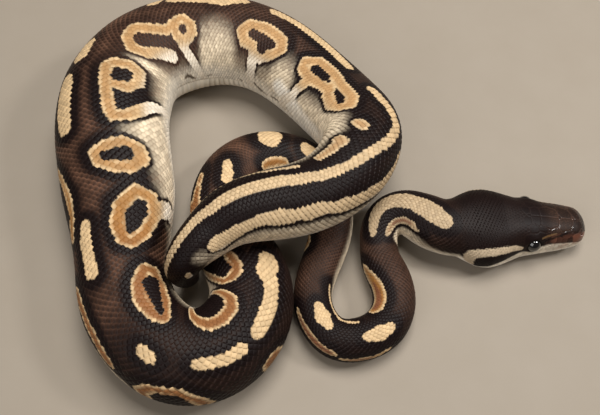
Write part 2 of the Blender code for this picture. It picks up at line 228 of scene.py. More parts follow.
def head_place(x, angle, depth):
    """Points of the closed head, in the head's own directions, at a depth under its outline."""
    rows = smooth_steps(HEAD_SECTIONS, x)
    half, crown, widest, chin, square = rows.T
    tip = np.clip((x - (HEAD_LENGTH - SNOUT_ROUNDING)) / SNOUT_ROUNDING, 0.0, 1.0)
    shrink = np.maximum(1 - tip**2.6, 0.0) ** 0.45
    middle = widest + 0.3
    crown = middle + (crown - middle) * shrink
    chin = middle + (chin - middle) * shrink
    widest = middle + (widest - middle) * shrink
    half = np.maximum(half * shrink - depth, 0.0)
    crown = np.maximum(crown - depth, middle)
    chin = np.minimum(chin + depth, middle)
    top_y, top_z = polar_reach(angle, square)
    low_y, low_z = polar_reach(angle, LOWER_SQUARENESS)
    over = np.cos(angle) >= 0
    y = half * np.where(over, top_y, low_y)
    z = widest + np.where(over, top_z * (crown - widest), low_z * (widest - chin))
    lean = np.abs(np.remainder(angle + math.pi, 2 * math.pi) - math.pi)
    place, reach, height = BROW
    push = height * np.exp(-(((x - place) / reach) ** 2) - ((lean - 0.95) / 0.3) ** 2)
    return np.stack([x, y + np.sign(y) * push, z + 0.5 * push], axis=-1)


def from_head(points):
    """From the head's own directions to the part's."""
    origin, ahead, left, up = BODY.joint
    return origin + points[..., :1] * ahead + points[..., 1:2] * left + points[..., 2:] * up


def roll_at(s):
    """How far the back leans at places along the body, in degrees."""
    return table(ROLL, np.ravel(s)).reshape(np.shape(s))


def surface(s, phi, depth):
    """Points at a depth under the body's or head's outline. phi is in degrees from the back."""
    s, phi, depth = np.broadcast_arrays(s, phi, depth)
    angle = np.radians(phi + roll_at(s))
    row = BODY.at(s)
    across, rise = polar_reach(angle, ROUNDNESS)
    wide = across * (row[..., 9] / 2 - depth)
    high = rise * (row[..., 10] / 2 - depth)
    body = row[..., :3] + row[..., 3:6] * wide[..., None] + row[..., 6:9] * high[..., None]
    flat = head_place(np.maximum(-s, 0.0).ravel(), angle.ravel(), depth.ravel())
    head = from_head(flat).reshape(body.shape)
    points = np.where((s < 0)[..., None], head, body)
    points[..., 2] = np.maximum(points[..., 2], depth)
    return points


def girth_per_degree(s):
    """Millimetres round the body for one degree."""
    row = BODY.at(np.maximum(s, 0.0))
    return math.pi * (row[..., 9] + row[..., 10]) / 2 * 1.02 / 360


# ---------------------------------------------------------------- the markings

# Each mark is drawn with strokes: (s, degrees, half width in mm) from point to point.
CREAM_MARKS = {
    "neck_stripe": [[
        (4.2, -31, 2.3), (7, -23, 2.9), (10.4, -20, 2.8), (14.9, -15, 2.5), (18.3, -6, 2.3),
        (20.5, 1, 2.1), (22.5, 4, 1.9), (25, 5, 1.7), (28.6, 10, 0.9),
    ]],
    "loop_back": [
        [(58.6, -4, 1.4), (61.3, 0, 2.2), (64.6, 3, 1.3)],
        [(75.8, 17, 1.4), (79, 20, 2.4), (82.6, 22, 1.4)],
    ],
    "loop_line": [[
        (91, 64, 0.4), (88, 68, 0.5), (84, 70, 0.5), (80, 67, 0.5), (75, 59, 0.5), (66, 50, 0.4),
    ]],
    "arch_back": [
        [(147, 14, 3.0), (147.5, -4, 2.8)],
        [(162.5, -19, 1.3), (165.6, -29, 1.6), (168.5, -31, 1.5)],
    ],
    "arch_near": [[(134, 36, 2.4), (136.5, 34, 2.0)]],
    "lower_long": [[
        (200, -12, 2.4), (203, 0, 2.6), (207, -4, 2.0), (213, -4, 2.2), (216.5, -5, 2.0),
    ]],
    "lower_bar": [[(222, -5, 1.7), (226, -3, 1.5), (230, 1, 1.4)]],
    "lower_dot": [[(239.5, -1, 1.5), (241.5, 1, 1.5)]],
    "left_bar": [[(265, -8, 2.0), (270, -10, 2.0), (275, -11, 2.0), (279.5, -7, 1.5)]],
    "great_bar": [[(313, 1, 2.8), (319, 1, 3.2), (325, 0, 3.2)]],
    "great_spot": [[(334, 6, 2.8), (337, 4, 2.6)]],
    "top_spots": [[(356, 8, 1.8), (357, 4, 1.8)]],
    "top_blotch": [[(361, 12, 2.0), (367, 16, 2.8), (374, 18, 3.0), (379, 8, 2.4)]],
    "right_bar": [[(389, 8, 1.8), (398, 3, 2.2), (408, 2, 2.2), (416, 5, 2.0), (421.5, 8, 1.6)]],
    "back_stripe": [[
        (435.5, 9, 1.6), (439, 5, 1.6), (442, -6, 1.7), (445, -17, 1.7), (449, -10, 1.6),
        (453, -4, 1.4), (457, -8, 1.4), (461, -15, 1.4), (470, -12, 1.6), (481, -3, 1.8),
        (490, -3, 1.8), (496, -3, 1.75), (499, -2, 1.5), (502, 4, 1.45), (506, 10, 1.4),
        (509, 11, 1.4), (511, 10, 1.25), (513.4, 7, 1.1), (516, 7, 1.0), (518.5, 5, 0.8),
        (522, 2, 0.4),
    ]],
    "lower_stripe": [[
        (449, -50, 1.6), (453, -62, 2.4), (456.5, -73, 2.7), (459.4, -75, 2.8), (462.6, -75, 2.3),
        (465.4, -72, 2.1), (468, -70, 2.4), (469.6, -69, 1.8), (471.9, -64, 1.7),
        (474.3, -62, 2.1), (477, -63.5, 2.2), (479.3, -60, 1.6), (481.8, -63.5, 2.1),
        (484.3, -62, 2.3), (487, -62, 1.8), (490, -63, 1.6), (493, -65.5, 1.6),
        (496.5, -68.5, 1.8), (500.4, -69, 1.9), (504.4, -71, 2.5), (506, -68, 2.2),
    ]],
    "flank_line": [[
        (475, 21, 0.7), (480, 25, 0.6), (485, 31, 0.55), (489, 39, 0.5), (492, 43, 0.45),
        (498, 48, 0.4), (504, 52, 0.4), (509, 56, 0.3),
    ]],
}
# The same for the tan marks, most of them on the flanks.
TAN_MARKS = {
    "neck_arch": [[
        (28.6, -32, 0.5), (27.2, -40, 0.9), (25.4, -47, 1.0), (23, -55, 1.0), (18.6, -64, 1.0),
        (14, -68, 1.0), (11, -69, 0.9), (9, -75, 0.5),
    ]],
    "loop_inner": [[
        (37.5, 72, 1.5), (41, 66, 2.2), (46, 61, 2.3), (51, 58, 2.3), (55, 60, 2.1),
        (57.5, 68, 1.8),
    ]],
    "loop_left": [[(83.5, -48, 0.8), (79, -46, 1.2), (76, -47, 1.3), (72.5, -50, 1.1)]],
    "loop_foot": [[(70.5, -68, 0.7), (67, -66, 1.0), (64, -67, 1.0), (61, -60, 0.7)]],
    "arch_inner": [[(141, -33, 1.2), (147, -60, 1.6), (151, -70, 1.6)]],
    "arch_drop": [[(167.5, 24, 1.2), (169, 23, 1.2)]],
    "arch_outer": [[(171, 25, 1.5), (175, 32, 1.9), (175, 48, 1.9)]],
    "hook": [[
        (193, 86, 1.2), (197, 77, 1.4), (201.2, 70, 1.4), (204, 61, 1.5), (203.3, 49, 1.7),
        (201.5, 39, 1.7), (198.5, 32, 1.6), (194.5, 29, 1.4),
    ]],
    "open_ring": [[
        (208.5, 84, 1.5), (209.8, 66, 1.7), (212.2, 48, 1.9), (215.5, 40, 2.0), (220, 39, 2.0),
        (224.6, 43, 2.0), (228, 53, 2.0), (231, 64, 2.0), (233, 77, 2.0), (235, 90, 1.8),
    ]],
    "pick": [[
        (242, 46, 1.8), (247, 62, 1.6), (255, 72, 1.6), (262, 68, 1.9), (263, 56, 1.9),
        (258, 44, 2.0), (252, 38, 2.1), (246, 40, 1.9), (242, 46, 1.8),
    ]],
    "teardrop": [
        [
            (272, 46, 1.9), (275, 60, 1.9), (281, 74, 2.0), (286, 70, 2.0), (288, 54, 1.9),
            (284, 36, 2.1), (278, 30, 2.2), (273, 36, 2.0), (272, 46, 1.9),
        ],
        [(283, 78, 2.6), (284, 95, 2.4), (283, 116, 2.0)],
    ],
    "oval": [[
        (295.5, 40, 1.9), (295, 55, 1.9), (297.5, 68, 2.1), (300.5, 68, 2.1), (303.5, 56, 1.9),
        (303, 40, 1.9), (301, 26, 1.9), (298, 26, 1.9), (295.5, 40, 1.9),
    ]],
    "six": [
        [
            (330, 44, 1.9), (324, 48, 1.9), (317, 51, 1.9), (312.5, 54, 1.9), (312.5, 68, 1.9),
            (314.5, 82, 2.2), (317.5, 95, 2.2), (319, 112, 1.7), (320, 132, 1.7),
        ],
        [
            (324, 56, 1.8), (323, 70, 1.8), (326, 80, 1.8), (330.5, 78, 1.9), (332.3, 66, 1.8),
            (331.5, 50, 1.9),
        ],
    ],
    "double_hook": [
        [
            (353, 94, 2.2), (347, 84, 2.3), (341, 74, 2.3), (340, 60, 2.2), (343, 46, 2.2),
            (346.5, 40, 2.0), (351, 54, 2.1), (355, 62, 2.0), (359, 58, 1.8),
        ],
        [
            (358, 60, 1.7), (358, 74, 1.7), (361, 80, 1.7), (364, 72, 1.7), (364, 60, 1.7),
            (361.5, 50, 1.7), (358, 56, 1.7),
        ],
        [(359, 84, 1.8), (361, 100, 1.6), (363, 118, 1.6), (366, 135, 1.6)],
    ],
    "arrow_head": [
        [
            (383, 62, 2.1), (385, 50, 2.1), (391, 44, 2.1), (398, 48, 2.1), (400.5, 60, 2.0),
            (399, 72, 2.0), (395, 84, 2.1), (391, 86, 2.0), (389.5, 76, 1.9), (385, 74, 2.0),
            (383, 62, 2.1),
        ],
        [(392, 90, 2.6), (393, 110, 2.2), (393, 136, 2.4)],
    ],
    "three_holes": [
        [
            (411, 52, 2.1), (414, 38, 2.0), (421, 36, 2.0), (429, 42, 2.0), (437, 44, 2.0),
            (440.5, 54, 2.0), (440, 66, 2.0), (435, 74, 2.0), (429.5, 66, 1.9), (427, 56, 1.9),
        ],
        [(412, 60, 2.0), (417, 66, 2.0), (423, 62, 1.9), (429, 60, 1.9)],
        [(418, 70, 2.2), (417, 85, 1.9), (416, 100, 1.7), (412, 120, 1.7), (411, 136, 2.2)],
    ],
    "small_oval": [[(448.5, 44, 1.5), (449, 34, 1.7)]],
    "long_drop": [[(456, 44, 1.6), (457, 34, 1.8), (461, 26, 1.6), (467, 22, 1.4)]],
    "tail_fleck": [[(514.8, -74, 0.7), (515.4, -88, 0.7)]],
    "lower_flank": [[(218, -56, 2.4), (217, -80, 2.8)]],
    "lower_ring": [[
        (230, -72, 1.4), (231, -50, 1.4), (234, -33, 1.4), (238, -38, 1.4), (239.5, -55, 1.4),
        (239, -75, 1.4),
    ]],
    "left_edge": [[(247, -45, 2.0), (252, -38, 1.8), (258, -38, 1.8), (262, -44, 2.0)]],
    "great_edge": [[
        (278, -38, 1.6), (284, -27, 1.6), (291, -22, 1.6), (298, -26, 1.6), (302, -34, 1.8),
    ]],
}
# The strokes that cut their dark middles out.
DARK_MIDDLES = {
    "hook": [[(195, 54, 2.2), (198, 50, 2.2)]],
    "open_ring": [[(216.5, 62, 2.2), (217.5, 86, 2.6)], [(224, 66, 1.2), (225, 88, 1.6)]],
    "pick": [[(244.5, 48, 0.9), (250, 54, 1.7), (257, 59, 2.5)]],
    "teardrop": [[(276, 44, 1.2), (281, 48, 2.2), (282, 60, 1.0)]],
    "oval": [[(299.5, 34, 1.6), (299.5, 53, 2.4)]],
    "six": [[(327, 58, 2.0), (327.5, 65, 2.2)], [(318, 64, 1.9), (318, 74, 1.8)]],
    "double_hook": [[(345, 58, 2.4), (349, 70, 2.4)], [(361, 64, 1.2), (361, 67, 1.2)]],
    "arrow_head": [[(387, 59, 1.3), (394, 62, 1.7), (394, 73, 1.9)]],
    "three_holes": [[(416, 50, 1.5), (422, 50, 1.5)], [(432.5, 56, 0.9), (437, 61, 1.2)]],
    "lower_ring": [[(234.5, -48, 1.8), (234.5, -70, 2.2)]],
    "great_edge": [[(285, -36, 1.4), (295, -34, 1.4)]],
}
# The rust red middles of some marks.
RUSTY_STROKES = [
    [(43, 66, 0.3), (48, 62, 0.9), (53, 60, 1.1), (56, 65, 0.9)],
    [(82, -47, 0.5), (76, -47, 0.9), (73, -50, 0.8)],
    [(69, -67, 0.4), (65, -66, 0.5)],
    [(23, -55, 0.25), (18.6, -64, 0.4), (12, -68, 0.35)],
]
# Where the ground pales to a dull net of scales.
DULL_PATCHES = [[(510.5, -62, 0.8), (509.6, -84, 1.5), (507, -98, 1.3)]]
# Where the lowest flank turns clear white, under the marks by the crossing.
WHITE_PATCHES = [[(408, 106, 2.6), (415, 118, 4.0), (424, 130, 4.4), (433, 128, 3.0)]]
# Dark flecks along the lowest flank.
DARK_FLECKS = [
    [(355.5, 128, 0.5), (357.5, 124, 0.9), (361, 133, 0.7)],
    [(366, 134, 0.5), (370, 131, 0.3)],
    [(386, 133, 0.3), (388, 136, 0.5)],
    [(395.5, 128, 0.6), (399, 136, 0.8), (402, 138, 0.3)],
    [(405, 133, 0.6), (408.5, 131, 0.4)],
    [(411, 127, 0.5), (414, 131, 0.3)],
]
# Rings on the flanks that the camera doesn't see: place, degrees, half length, half height.
HIDDEN_RINGS = [
    (104, -70, 3.6, 26), (122, 62, 3.6, 26), (118, -74, 3.6, 26), (181, 66, 4.8, 26),
    (186, -66, 5.0, 26), (320, -58, 6.4, 24), (344, -62, 6.0, 24), (368, -60, 6.2, 24),
    (394, -62, 5.8, 24), (418, -60, 5.6, 24), (438, -66, 4.6, 24),
]


def stroke_distance(s, phi, strokes, degree=None):
    """Distance in mm from the nearest stroke's edge, negative inside it.

    A degree is as wide as the body's girth makes it there, unless its width in mm is given.
    """
    nearest = np.full(len(s), FAR)
    for points in strokes:
        for (start, turn, reach), (end, last_turn, last_reach) in zip(points[:-1], points[1:]):
            wide = degree or float(girth_per_degree((start + end) / 2))
            run, rise = end - start, (last_turn - turn) * wide
            x, y = s - start, (phi - turn) * wide
            t = np.clip((x * run + y * rise) / max(run * run + rise * rise, 1e-9), 0.0, 1.0)
            away = np.hypot(x - run * t, y - rise * t) - (reach + (last_reach - reach) * t)
            nearest = np.minimum(nearest, away)
    return nearest


def painted(s, phi, strokes, full, none, degree=None):
    """1 in the strokes up to one distance from their edge, and 0 past the other."""
    return 1 - smooth(full, none, stroke_distance(s, phi, strokes, degree))


def ring_mark(place, degrees, half_length, half_height):
    """Strokes of an uneven ring and of the dark middle inside it."""
    width = 0.34 * half_length
    band = []
    for t in np.linspace(0, 2 * math.pi, 15):
        uneven = 1 + 0.15 * math.sin(2 * t + place) + 0.11 * math.sin(3 * t + 2 * place)
        along = place + uneven * (half_length - width) * math.cos(t)
        rise = uneven * (half_height - 6) * math.sin(t)
        band.append((along, degrees + rise, width * (0.75 + 0.3 * uneven)))
    return [band], [[(place, degrees - 7, 0.9), (place, degrees + 7, 1.1)]]


# Where the pale flank begins, in degrees from the back, on the snake's left and on its right.
LEFT_FLANK = [
    (0, 100), (30, 104), (56, 100), (66, 80), (90, 80), (97, 72), (112, 74), (118, 100),
    (185, 94), (192, 88), (197, 74), (205, 76), (213, 88), (238, 84), (264, 92), (275, 104),
    (284, 86), (290, 76), (302, 70), (307, 58), (311, 64), (316, 100), (332, 92), (336, 58),
    (340, 90), (352, 102), (364, 96), (368, 54), (374, 48), (380, 62), (385, 92), (400, 82),
    (404, 56), (409, 62), (414, 84), (438, 76), (446, 58), (456, 50), (472, 34), (480, 32),
    (488, 44), (500, 54), (508, 62), (514, 120), (536, 130),
]
RIGHT_FLANK = [
    (0, 113), (3, 112), (5, 106), (7, 96), (9.5, 87), (15, 84), (19, 83), (24, 68), (27, 58),
    (30, 60), (33, 100), (200, 98), (236, 84), (244, 60), (262, 64), (276, 78), (300, 84),
    (440, 84), (452, 94), (460, 100), (468, 92), (474, 84), (484, 84), (492, 84), (500, 91),
    (506, 94), (510, 100), (514, 130), (536, 130),
]

# How much tan the marks hold, along the body; the rest is cream.
TAN_SHARE = [(0, 1), (266, 1), (284, 0.92), (297, 0.72), (330, 0.66), (430, 0.62), (536, 0.7)]

# How dark the ground is at the least, along the body: 0 brown, 1 black.
DARKNESS = [
    (0, 0.85), (12, 0.65), (25, 0.5), (48, 0.42), (58, 0.95), (78, 0.95), (92, 0.42), (110, 0.42),
    (135, 0.15), (150, 0.0), (165, 0.1), (185, 0.5), (205, 0.9), (245, 0.85), (258, 0.25),
    (300, 0.0), (345, 0.05), (375, 0.3), (405, 0.5), (440, 0.85), (470, 1.0), (536, 1.0),
]

FAR = 99.0  # mm, further than any mark
MARK_REACH = 11.0  # mm from a mark, that its dark rim is worked out
HOLE_RIM = 1.2  # mm of pale edge round a dark middle


def marking_masks(s, phi):
    """How strongly each colour of the pattern holds at places on the body, as a dictionary."""
    s, phi = np.asarray(s, float), np.asarray(phi, float)
    marks = [(strokes, [], 0) for strokes in CREAM_MARKS.values()]
    marks += [(strokes, DARK_MIDDLES.get(name, []), 1) for name, strokes in TAN_MARKS.items()]
    marks += [(*ring_mark(*ring), 1) for ring in HIDDEN_RINGS]
    mark, core, near = np.zeros(len(s)), np.zeros(len(s)), np.full(len(s), FAR)
    for strokes, holes, tan in marks:
        along = [point[0] for stroke in strokes for point in stroke]
        k = np.where((s > min(along) - MARK_REACH) & (s < max(along) + MARK_REACH))[0]
        outer = stroke_distance(s[k], phi[k], strokes)
        inside = outer < 0
        if holes:
            hole = stroke_distance(s[k], phi[k], holes)
            outer = np.minimum(outer, hole - HOLE_RIM)
            inside = inside & (hole > 0)
        mark[k] = np.maximum(mark[k], inside)
        core[k] = np.maximum(core[k], tan * inside * smooth(0.2, 1.25, -outer))
        near[k] = np.minimum(near[k], outer)
    turn, left = np.abs(phi), phi > 0

    # The pale flank, which fades in slowly on the high coil and stays off the marks' dark rims.
    ramp = 22 + 24 * within(s, 335, 345, 402, 412)
    edge = np.where(left, table(LEFT_FLANK, s), table(RIGHT_FLANK, s))
    pale = smooth(-9, np.where(left, ramp, 11.0), turn - edge)
    rim = (1 - smooth(0.7, 1.7, near)) * (1 - smooth(104, 122, turn))
    # Past s 508 the pale flank is taken off the tail: painted shade where the tail dives down
    # between the coils.
    pale = np.maximum(pale * (1 - rim), smooth(112, 126, turn)) * (1 - smooth(508, 514, s))
    pale = np.maximum(pale, 0.5 * painted(s, phi, DULL_PATCHES, -1.0, 1.3) * (near > 0.5))

    # Black round the marks, on a brown that is darker in some lengths than in others.
    ground = 1 - smooth(1.9, 5.4, near)
    ground = ground * (1 - 0.5 * within(s, 325, 340, 385, 405))
    ground = np.maximum(ground, table(DARKNESS, s))

    # White low on the flank, and the dark flecks there.
    clear = painted(s, phi, WHITE_PATCHES, -1.5, 1.5)
    # The white ends past s 500 on the tail's flank and belly plates: painted shade where the tail
    # dives down between the coils.
    white = smooth(104, 134, turn) * (1 - smooth(500, 511, s))
    white = np.maximum(0.7 * white, clear)
    pale = np.maximum(pale, clear * (near > 0.5))
    fleck = painted(s, phi, DARK_FLECKS, -0.6, 0.5)
    pale = pale * (1 - 0.85 * fleck)
    white = white * (1 - fleck)
    ground = np.maximum(ground, 0.6 * fleck)

    # The marks: dimmed on the neck with painted shade, whiter low on the flank, and rust in the
    # middle of some.
    # Up to s 28 the marks keep only 0.69 of their strength, full again by s 36: painted shade on
    # the low-lying neck.
    mark = mark * (0.69 + 0.31 * smooth(28, 36, s))
    white = np.maximum(white, mark * smooth(74, 96, turn))
    white = np.maximum(white, 0.25 * mark * (1 - smooth(32, 50, s) + smooth(438, 455, s)))
    core = core * (1 - smooth(62, 96, turn)) * table(TAN_SHARE, s)
    ruddy = 0.8 * painted(s, phi, RUSTY_STROKES, -0.5, 0.6)
    ruddy = np.maximum(ruddy, 0.5 * core * within(s, 120, 190, 256, 288)) * (mark > 0)
    return {
        "mark": mark, "core": core, "ground": ground, "pale": pale, "white": white,
        "ruddy": ruddy,
    }


MASKS = ("mark", "core", "ground", "pale", "white", "ruddy", "own", "edge")


def all_masks(s, phi, own):
    """The body's and the head's masks together, with each place's own share of chance."""
    found = marking_masks(s, phi)
    found["own"] = own
    found["edge"] = np.zeros(len(s))
    head = s < 0
    blend = 1 - smooth(-2.0, 0.0, s[head])
    for name, value in head_masks(-s[head], phi[head] + roll_at(s[head])).items():
        found[name][head] = value * blend + found[name][head] * (1 - blend)
    return found


# The head's pattern, the same on both sides: (distance from the neck joint, degrees, half width).
HEAD_DEGREE = 0.165  # mm
FAR_SIDE_DROP = 8.0  # degrees the pattern on the left cheek lies lower by
CHEEK_STRIPE = [
    (18.6, 62, 0.5), (16, 56, 0.85), (12, 53.5, 1.0), (8, 54.5, 1.05), (5, 59, 1.15),
    (3.2, 67, 1.4), (2.6, 80, 1.6), (3.0, 96, 1.5),
]
CHEEK_SHADE = [(17.5, 67, 0.7), (14, 70.5, 1.15), (10, 71.5, 1.3), (7, 75, 1.2), (6.0, 88, 1.0)]
EYE_LINE = [(24.8, 45, 0.25), (27.2, 41, 0.3), (29.4, 37, 0.15)]
EYE_LINE_SHADE = [(24.0, 54, 0.6), (26.5, 51, 0.45), (30, 43, 0.4), (33, 37, 0.3)]
# Where the pale lips and throat begin, in degrees from the crown.
LIP_EDGE = [
    (0, 92), (4, 104), (7, 98), (10, 86), (13, 80), (16, 75), (19, 73), (22, 76), (25, 66),
    (28, 62), (32, 63), (36, 68), (39, 80), (42, 96),
]


def head_masks(x, angle):
    """The pattern on the head, by distance from the neck joint and degrees from the crown."""
    turn = np.remainder(angle + 180, 360) - 180
    turn = np.abs(turn) - FAR_SIDE_DROP * (turn > 0) * smooth(20, 45, turn)
    stripe = painted(x, turn, [CHEEK_STRIPE], -0.12, 0.12, HEAD_DEGREE)
    shade = painted(x, turn, [CHEEK_SHADE], -0.15, 0.2, HEAD_DEGREE)
    line = painted(x, turn, [EYE_LINE], -0.25, 0.15, HEAD_DEGREE)
    under = painted(x, turn, [EYE_LINE_SHADE], -0.2, 0.25, HEAD_DEGREE)
    lip = smooth(-3, 3, turn - table(LIP_EDGE, x)) * (1 - shade)
    lip = lip * smooth(2.0, 2.6, np.hypot(x - 22.2, (turn - 61) * 0.15))  # not round the eye
    ruddy = 0.5 * smooth(25, 31, x) * within(turn, 34, 48, 70, 96) * (1 - line)
    crown = 0.93 - 0.42 * smooth(24, 31, x) * (1 - smooth(30, 46, turn))
    crown = np.maximum(crown, smooth(37.6, 39.2, x) * (1 - smooth(40, 60, turn)))
    white = lip * (0.45 + 0.55 * smooth(78, 100, turn))
    return {
        "mark": np.maximum(0.8 * stripe, 0.3 * line),
        "core": line,
        "ground": np.maximum(crown, np.maximum(shade, under)),
        "pale": lip,
        "white": np.maximum(white * (1 - stripe), 0.4 * stripe),
        "ruddy": ruddy * (1 - under),
    }


# ---------------------------------------------------------------- meshes


def new_object(name, points, faces, material):
    """A smooth mesh object from points in millimetres."""
    mesh = bpy.data.meshes.new(name)
    mesh.from_pydata((np.asarray(points) * MM).tolist(), [], faces)
    mesh.validate()
    mesh.shade_smooth()
    mesh.materials.append(material)
    return in_scene(name, mesh)


def in_scene(name, data):
    """An object of its own for a mesh, a lamp or a camera."""
    thing = bpy.data.objects.new(name, data)
    bpy.context.scene.collection.objects.link(thing)
    return thing


def store(mesh, name, values, kind="FLOAT"):
    """Keeps one number, vector or turn for each point of the mesh."""
    field = "vector" if kind == "FLOAT_VECTOR" else "value"
    holder = mesh.attributes.new(name, kind, "POINT")
    holder.data.foreach_set(field, np.asarray(values, np.float32).ravel())


def stored(mesh, name, width=3):
    """Reads such values back: vectors, or plain numbers where the width is 1."""
    values = np.zeros(len(mesh.vertices) * width, np.float32)
    mesh.attributes[name].data.foreach_get("vector" if width == 3 else "value", values)
    return values.reshape(-1, width).squeeze().astype(float)


def unwrap(s, phi, first, last, lanes):
    """Place on the skin's own unwrap: the body laid out flat, in lanes side by side."""
    share = np.clip((s - first) / (last - first), 0, 0.99999) * lanes
    lane = np.floor(share)
    u = 0.01 + 0.98 * (share - lane)
    v = (lane + 0.03 + 0.94 * (phi + 180) / 360) / lanes
    return np.stack([u, v], axis=-1)


def bake_map(mesh, places):
    """The OFBake map, from each point's place on the unwrap."""
    corner = np.zeros(len(mesh.loops), np.int32)
    mesh.loops.foreach_get("vertex_index", corner)
    layer = mesh.uv_layers.new(name="OFBake")
    layer.uv.foreach_set("vector", places[corner].astype(np.float32).ravel())


BODY_SIDES = 72
HEAD_SIDES = 288
BODY_RING_STEP = 1.6
HEAD_RING_STEP = 0.185


def skin_rings():
    """Stations from the tail tip to the snout, with the number of points round each."""
    tail = TAIL_TIP - np.array([0, 0.25, 0.7])
    body = np.arange(TAIL_TIP - 1.6, 9.0, -BODY_RING_STEP)
    neck = np.arange(7.6, 1.0, -0.8)
    head = np.arange(0.4, -(HEAD_LENGTH - 1.6), -HEAD_RING_STEP)
    nose = head[-1] - (HEAD_LENGTH + head[-1]) * np.sin(np.linspace(0.0, math.pi / 2, 20)[1:-1])
    rows = [(s, BODY_SIDES) for s in np.r_[tail, body]]
    rows += [(s, 2 * BODY_SIDES) for s in neck]
    return rows + [(s, HEAD_SIDES) for s in np.r_[head, nose]]


def skin_depth(s):
    """Millimetres of the skin under the outline: less on the head, which has no loose scales."""
    return SKIN_DEPTH - 0.12 * (1 - smooth(-17.0, -11.0, s))


def build_skin(material):
    """The closed skin from snout to tail tip, with the head carved and the pattern on it."""
    rows = skin_rings()
    starts = np.cumsum([0] + [sides for _, sides in rows]).tolist()
    points, places, faces = [], [], []
    for s, sides in rows:
        round_it = np.full(sides, s)
        phi = np.degrees(np.arange(sides) * 2 * math.pi / sides) - roll_at(round_it)
        phi = np.remainder(phi + 180, 360) - 180
        points.append(surface(round_it, phi, skin_depth(round_it)))
        places.append(np.stack([round_it, phi], axis=1))
    for (_, sides), (_, after), low, high in zip(rows[:-1], rows[1:], starts, starts[1:]):
        for k in range(sides):
            n = (k + 1) % sides
            if sides == after:
                faces.append((low + k, high + k, high + n, low + n))
            else:
                m = (2 * k + 2) % after
                faces.append((low + k, high + 2 * k, high + 2 * k + 1, high + m, low + n))
    total = starts[-1]
    for k in range(BODY_SIDES):
        faces.append((total, k, (k + 1) % BODY_SIDES))
    for k in range(HEAD_SIDES):
        faces.append((total + 1, starts[-2] + (k + 1) % HEAD_SIDES, starts[-2] + k))
    tail, before = points[0].mean(axis=0), points[2].mean(axis=0)
    poles = [tail + (tail - before) * 0.2, points[-1].mean(axis=0)]
    points = np.vstack(points + [poles])
    places = np.vstack(places + [[[TAIL_TIP, 0.0], [-HEAD_LENGTH, 0.0]]])
    s, phi = places.T
    masks = all_masks(s, phi, np.random.default_rng(5).random(len(points)))
    on_head = np.where(s < 1.0)[0]
    carve_head(points, on_head, -s[on_head], (phi + roll_at(s))[on_head], masks)
    skin = new_object("skin", points, faces, material)
    masks["gloss"] = 0.25 * smooth(24.0, 31.0, -s) + 0.75 * smooth(36.0, 38.6, -s)
    for name, values in masks.items():
        store(skin.data, name, values)
    return skin


# ---------------------------------------------------------------- the head's plates

# Large plates: name, points they hold as (distance, degrees from the crown), reach in mm.
PLATES = [
    ("rostral", [(40.78, 100), (40.5, 150)], 1.3),
    ("internasal", [(39.9, 22)], 1.0),
    ("front_prefrontal", [(37.2, 16), (36.6, 24)], 1.4),
    ("rear_prefrontal", [(33.4, 12), (32.6, 20)], 1.7),
    ("side_prefrontal", [(33.2, 38)], 1.1),
    ("frontal", [(28.6, 13), (26.6, 12)], 1.8),
    ("side_frontal", [(29.4, 33)], 1.2),
    ("supraocular", [(24.8, 42), (22.6, 44), (20.6, 45)], 1.3),
    ("inner_brow", [(25.4, 27)], 1.0),
    ("parietal", [(23.3, 10)], 1.3),
    ("outer_parietal", [(22.2, 27)], 1.1),
    ("rear_parietal", [(20.4, 12)], 0.9),
    ("prenasal", [(39.4, 58)], 1.0),
    ("postnasal", [(37.2, 50), (36.4, 54)], 1.0),
    ("supranasal", [(38.0, 38)], 0.8),
    ("loreal_1", [(34.4, 57)], 0.7),
    ("loreal_2", [(32.4, 54)], 0.6),
    ("loreal_3", [(30.6, 52)], 0.6),
    ("loreal_4", [(28.8, 52)], 0.6),
    ("mental", [(40.3, 178)], 0.8),
]
LIP_PITCH = 2.45
PIT_LABIALS = 4
CELL = 0.98  # spacing of the small scales
GROOVE = 0.115
GROOVE_WIDTH = 0.17
DOME = 0.035  # how far a plate's middle stands up
MOUTH_DEPTH = 0.27
NOSTRIL_DEPTH = 0.55
PIT_DEPTH = 0.34
EYE_RING = 2.75  # radius of the ring of small scales round the eye
NOSTRIL = (38.3, 47.0)


def outline(x, degrees, depth=0.0):
    """Points of the head's outline in its own directions."""
    x = np.asarray(x, float)
    return head_place(x, np.radians(degrees), np.full(len(x), depth))


def eye_centre(hand):
    """The eye's middle in the head's own directions; hand is 1 on the left and -1 on the right."""
    return np.array(EYE_PLACE) * [1, hand, 1]


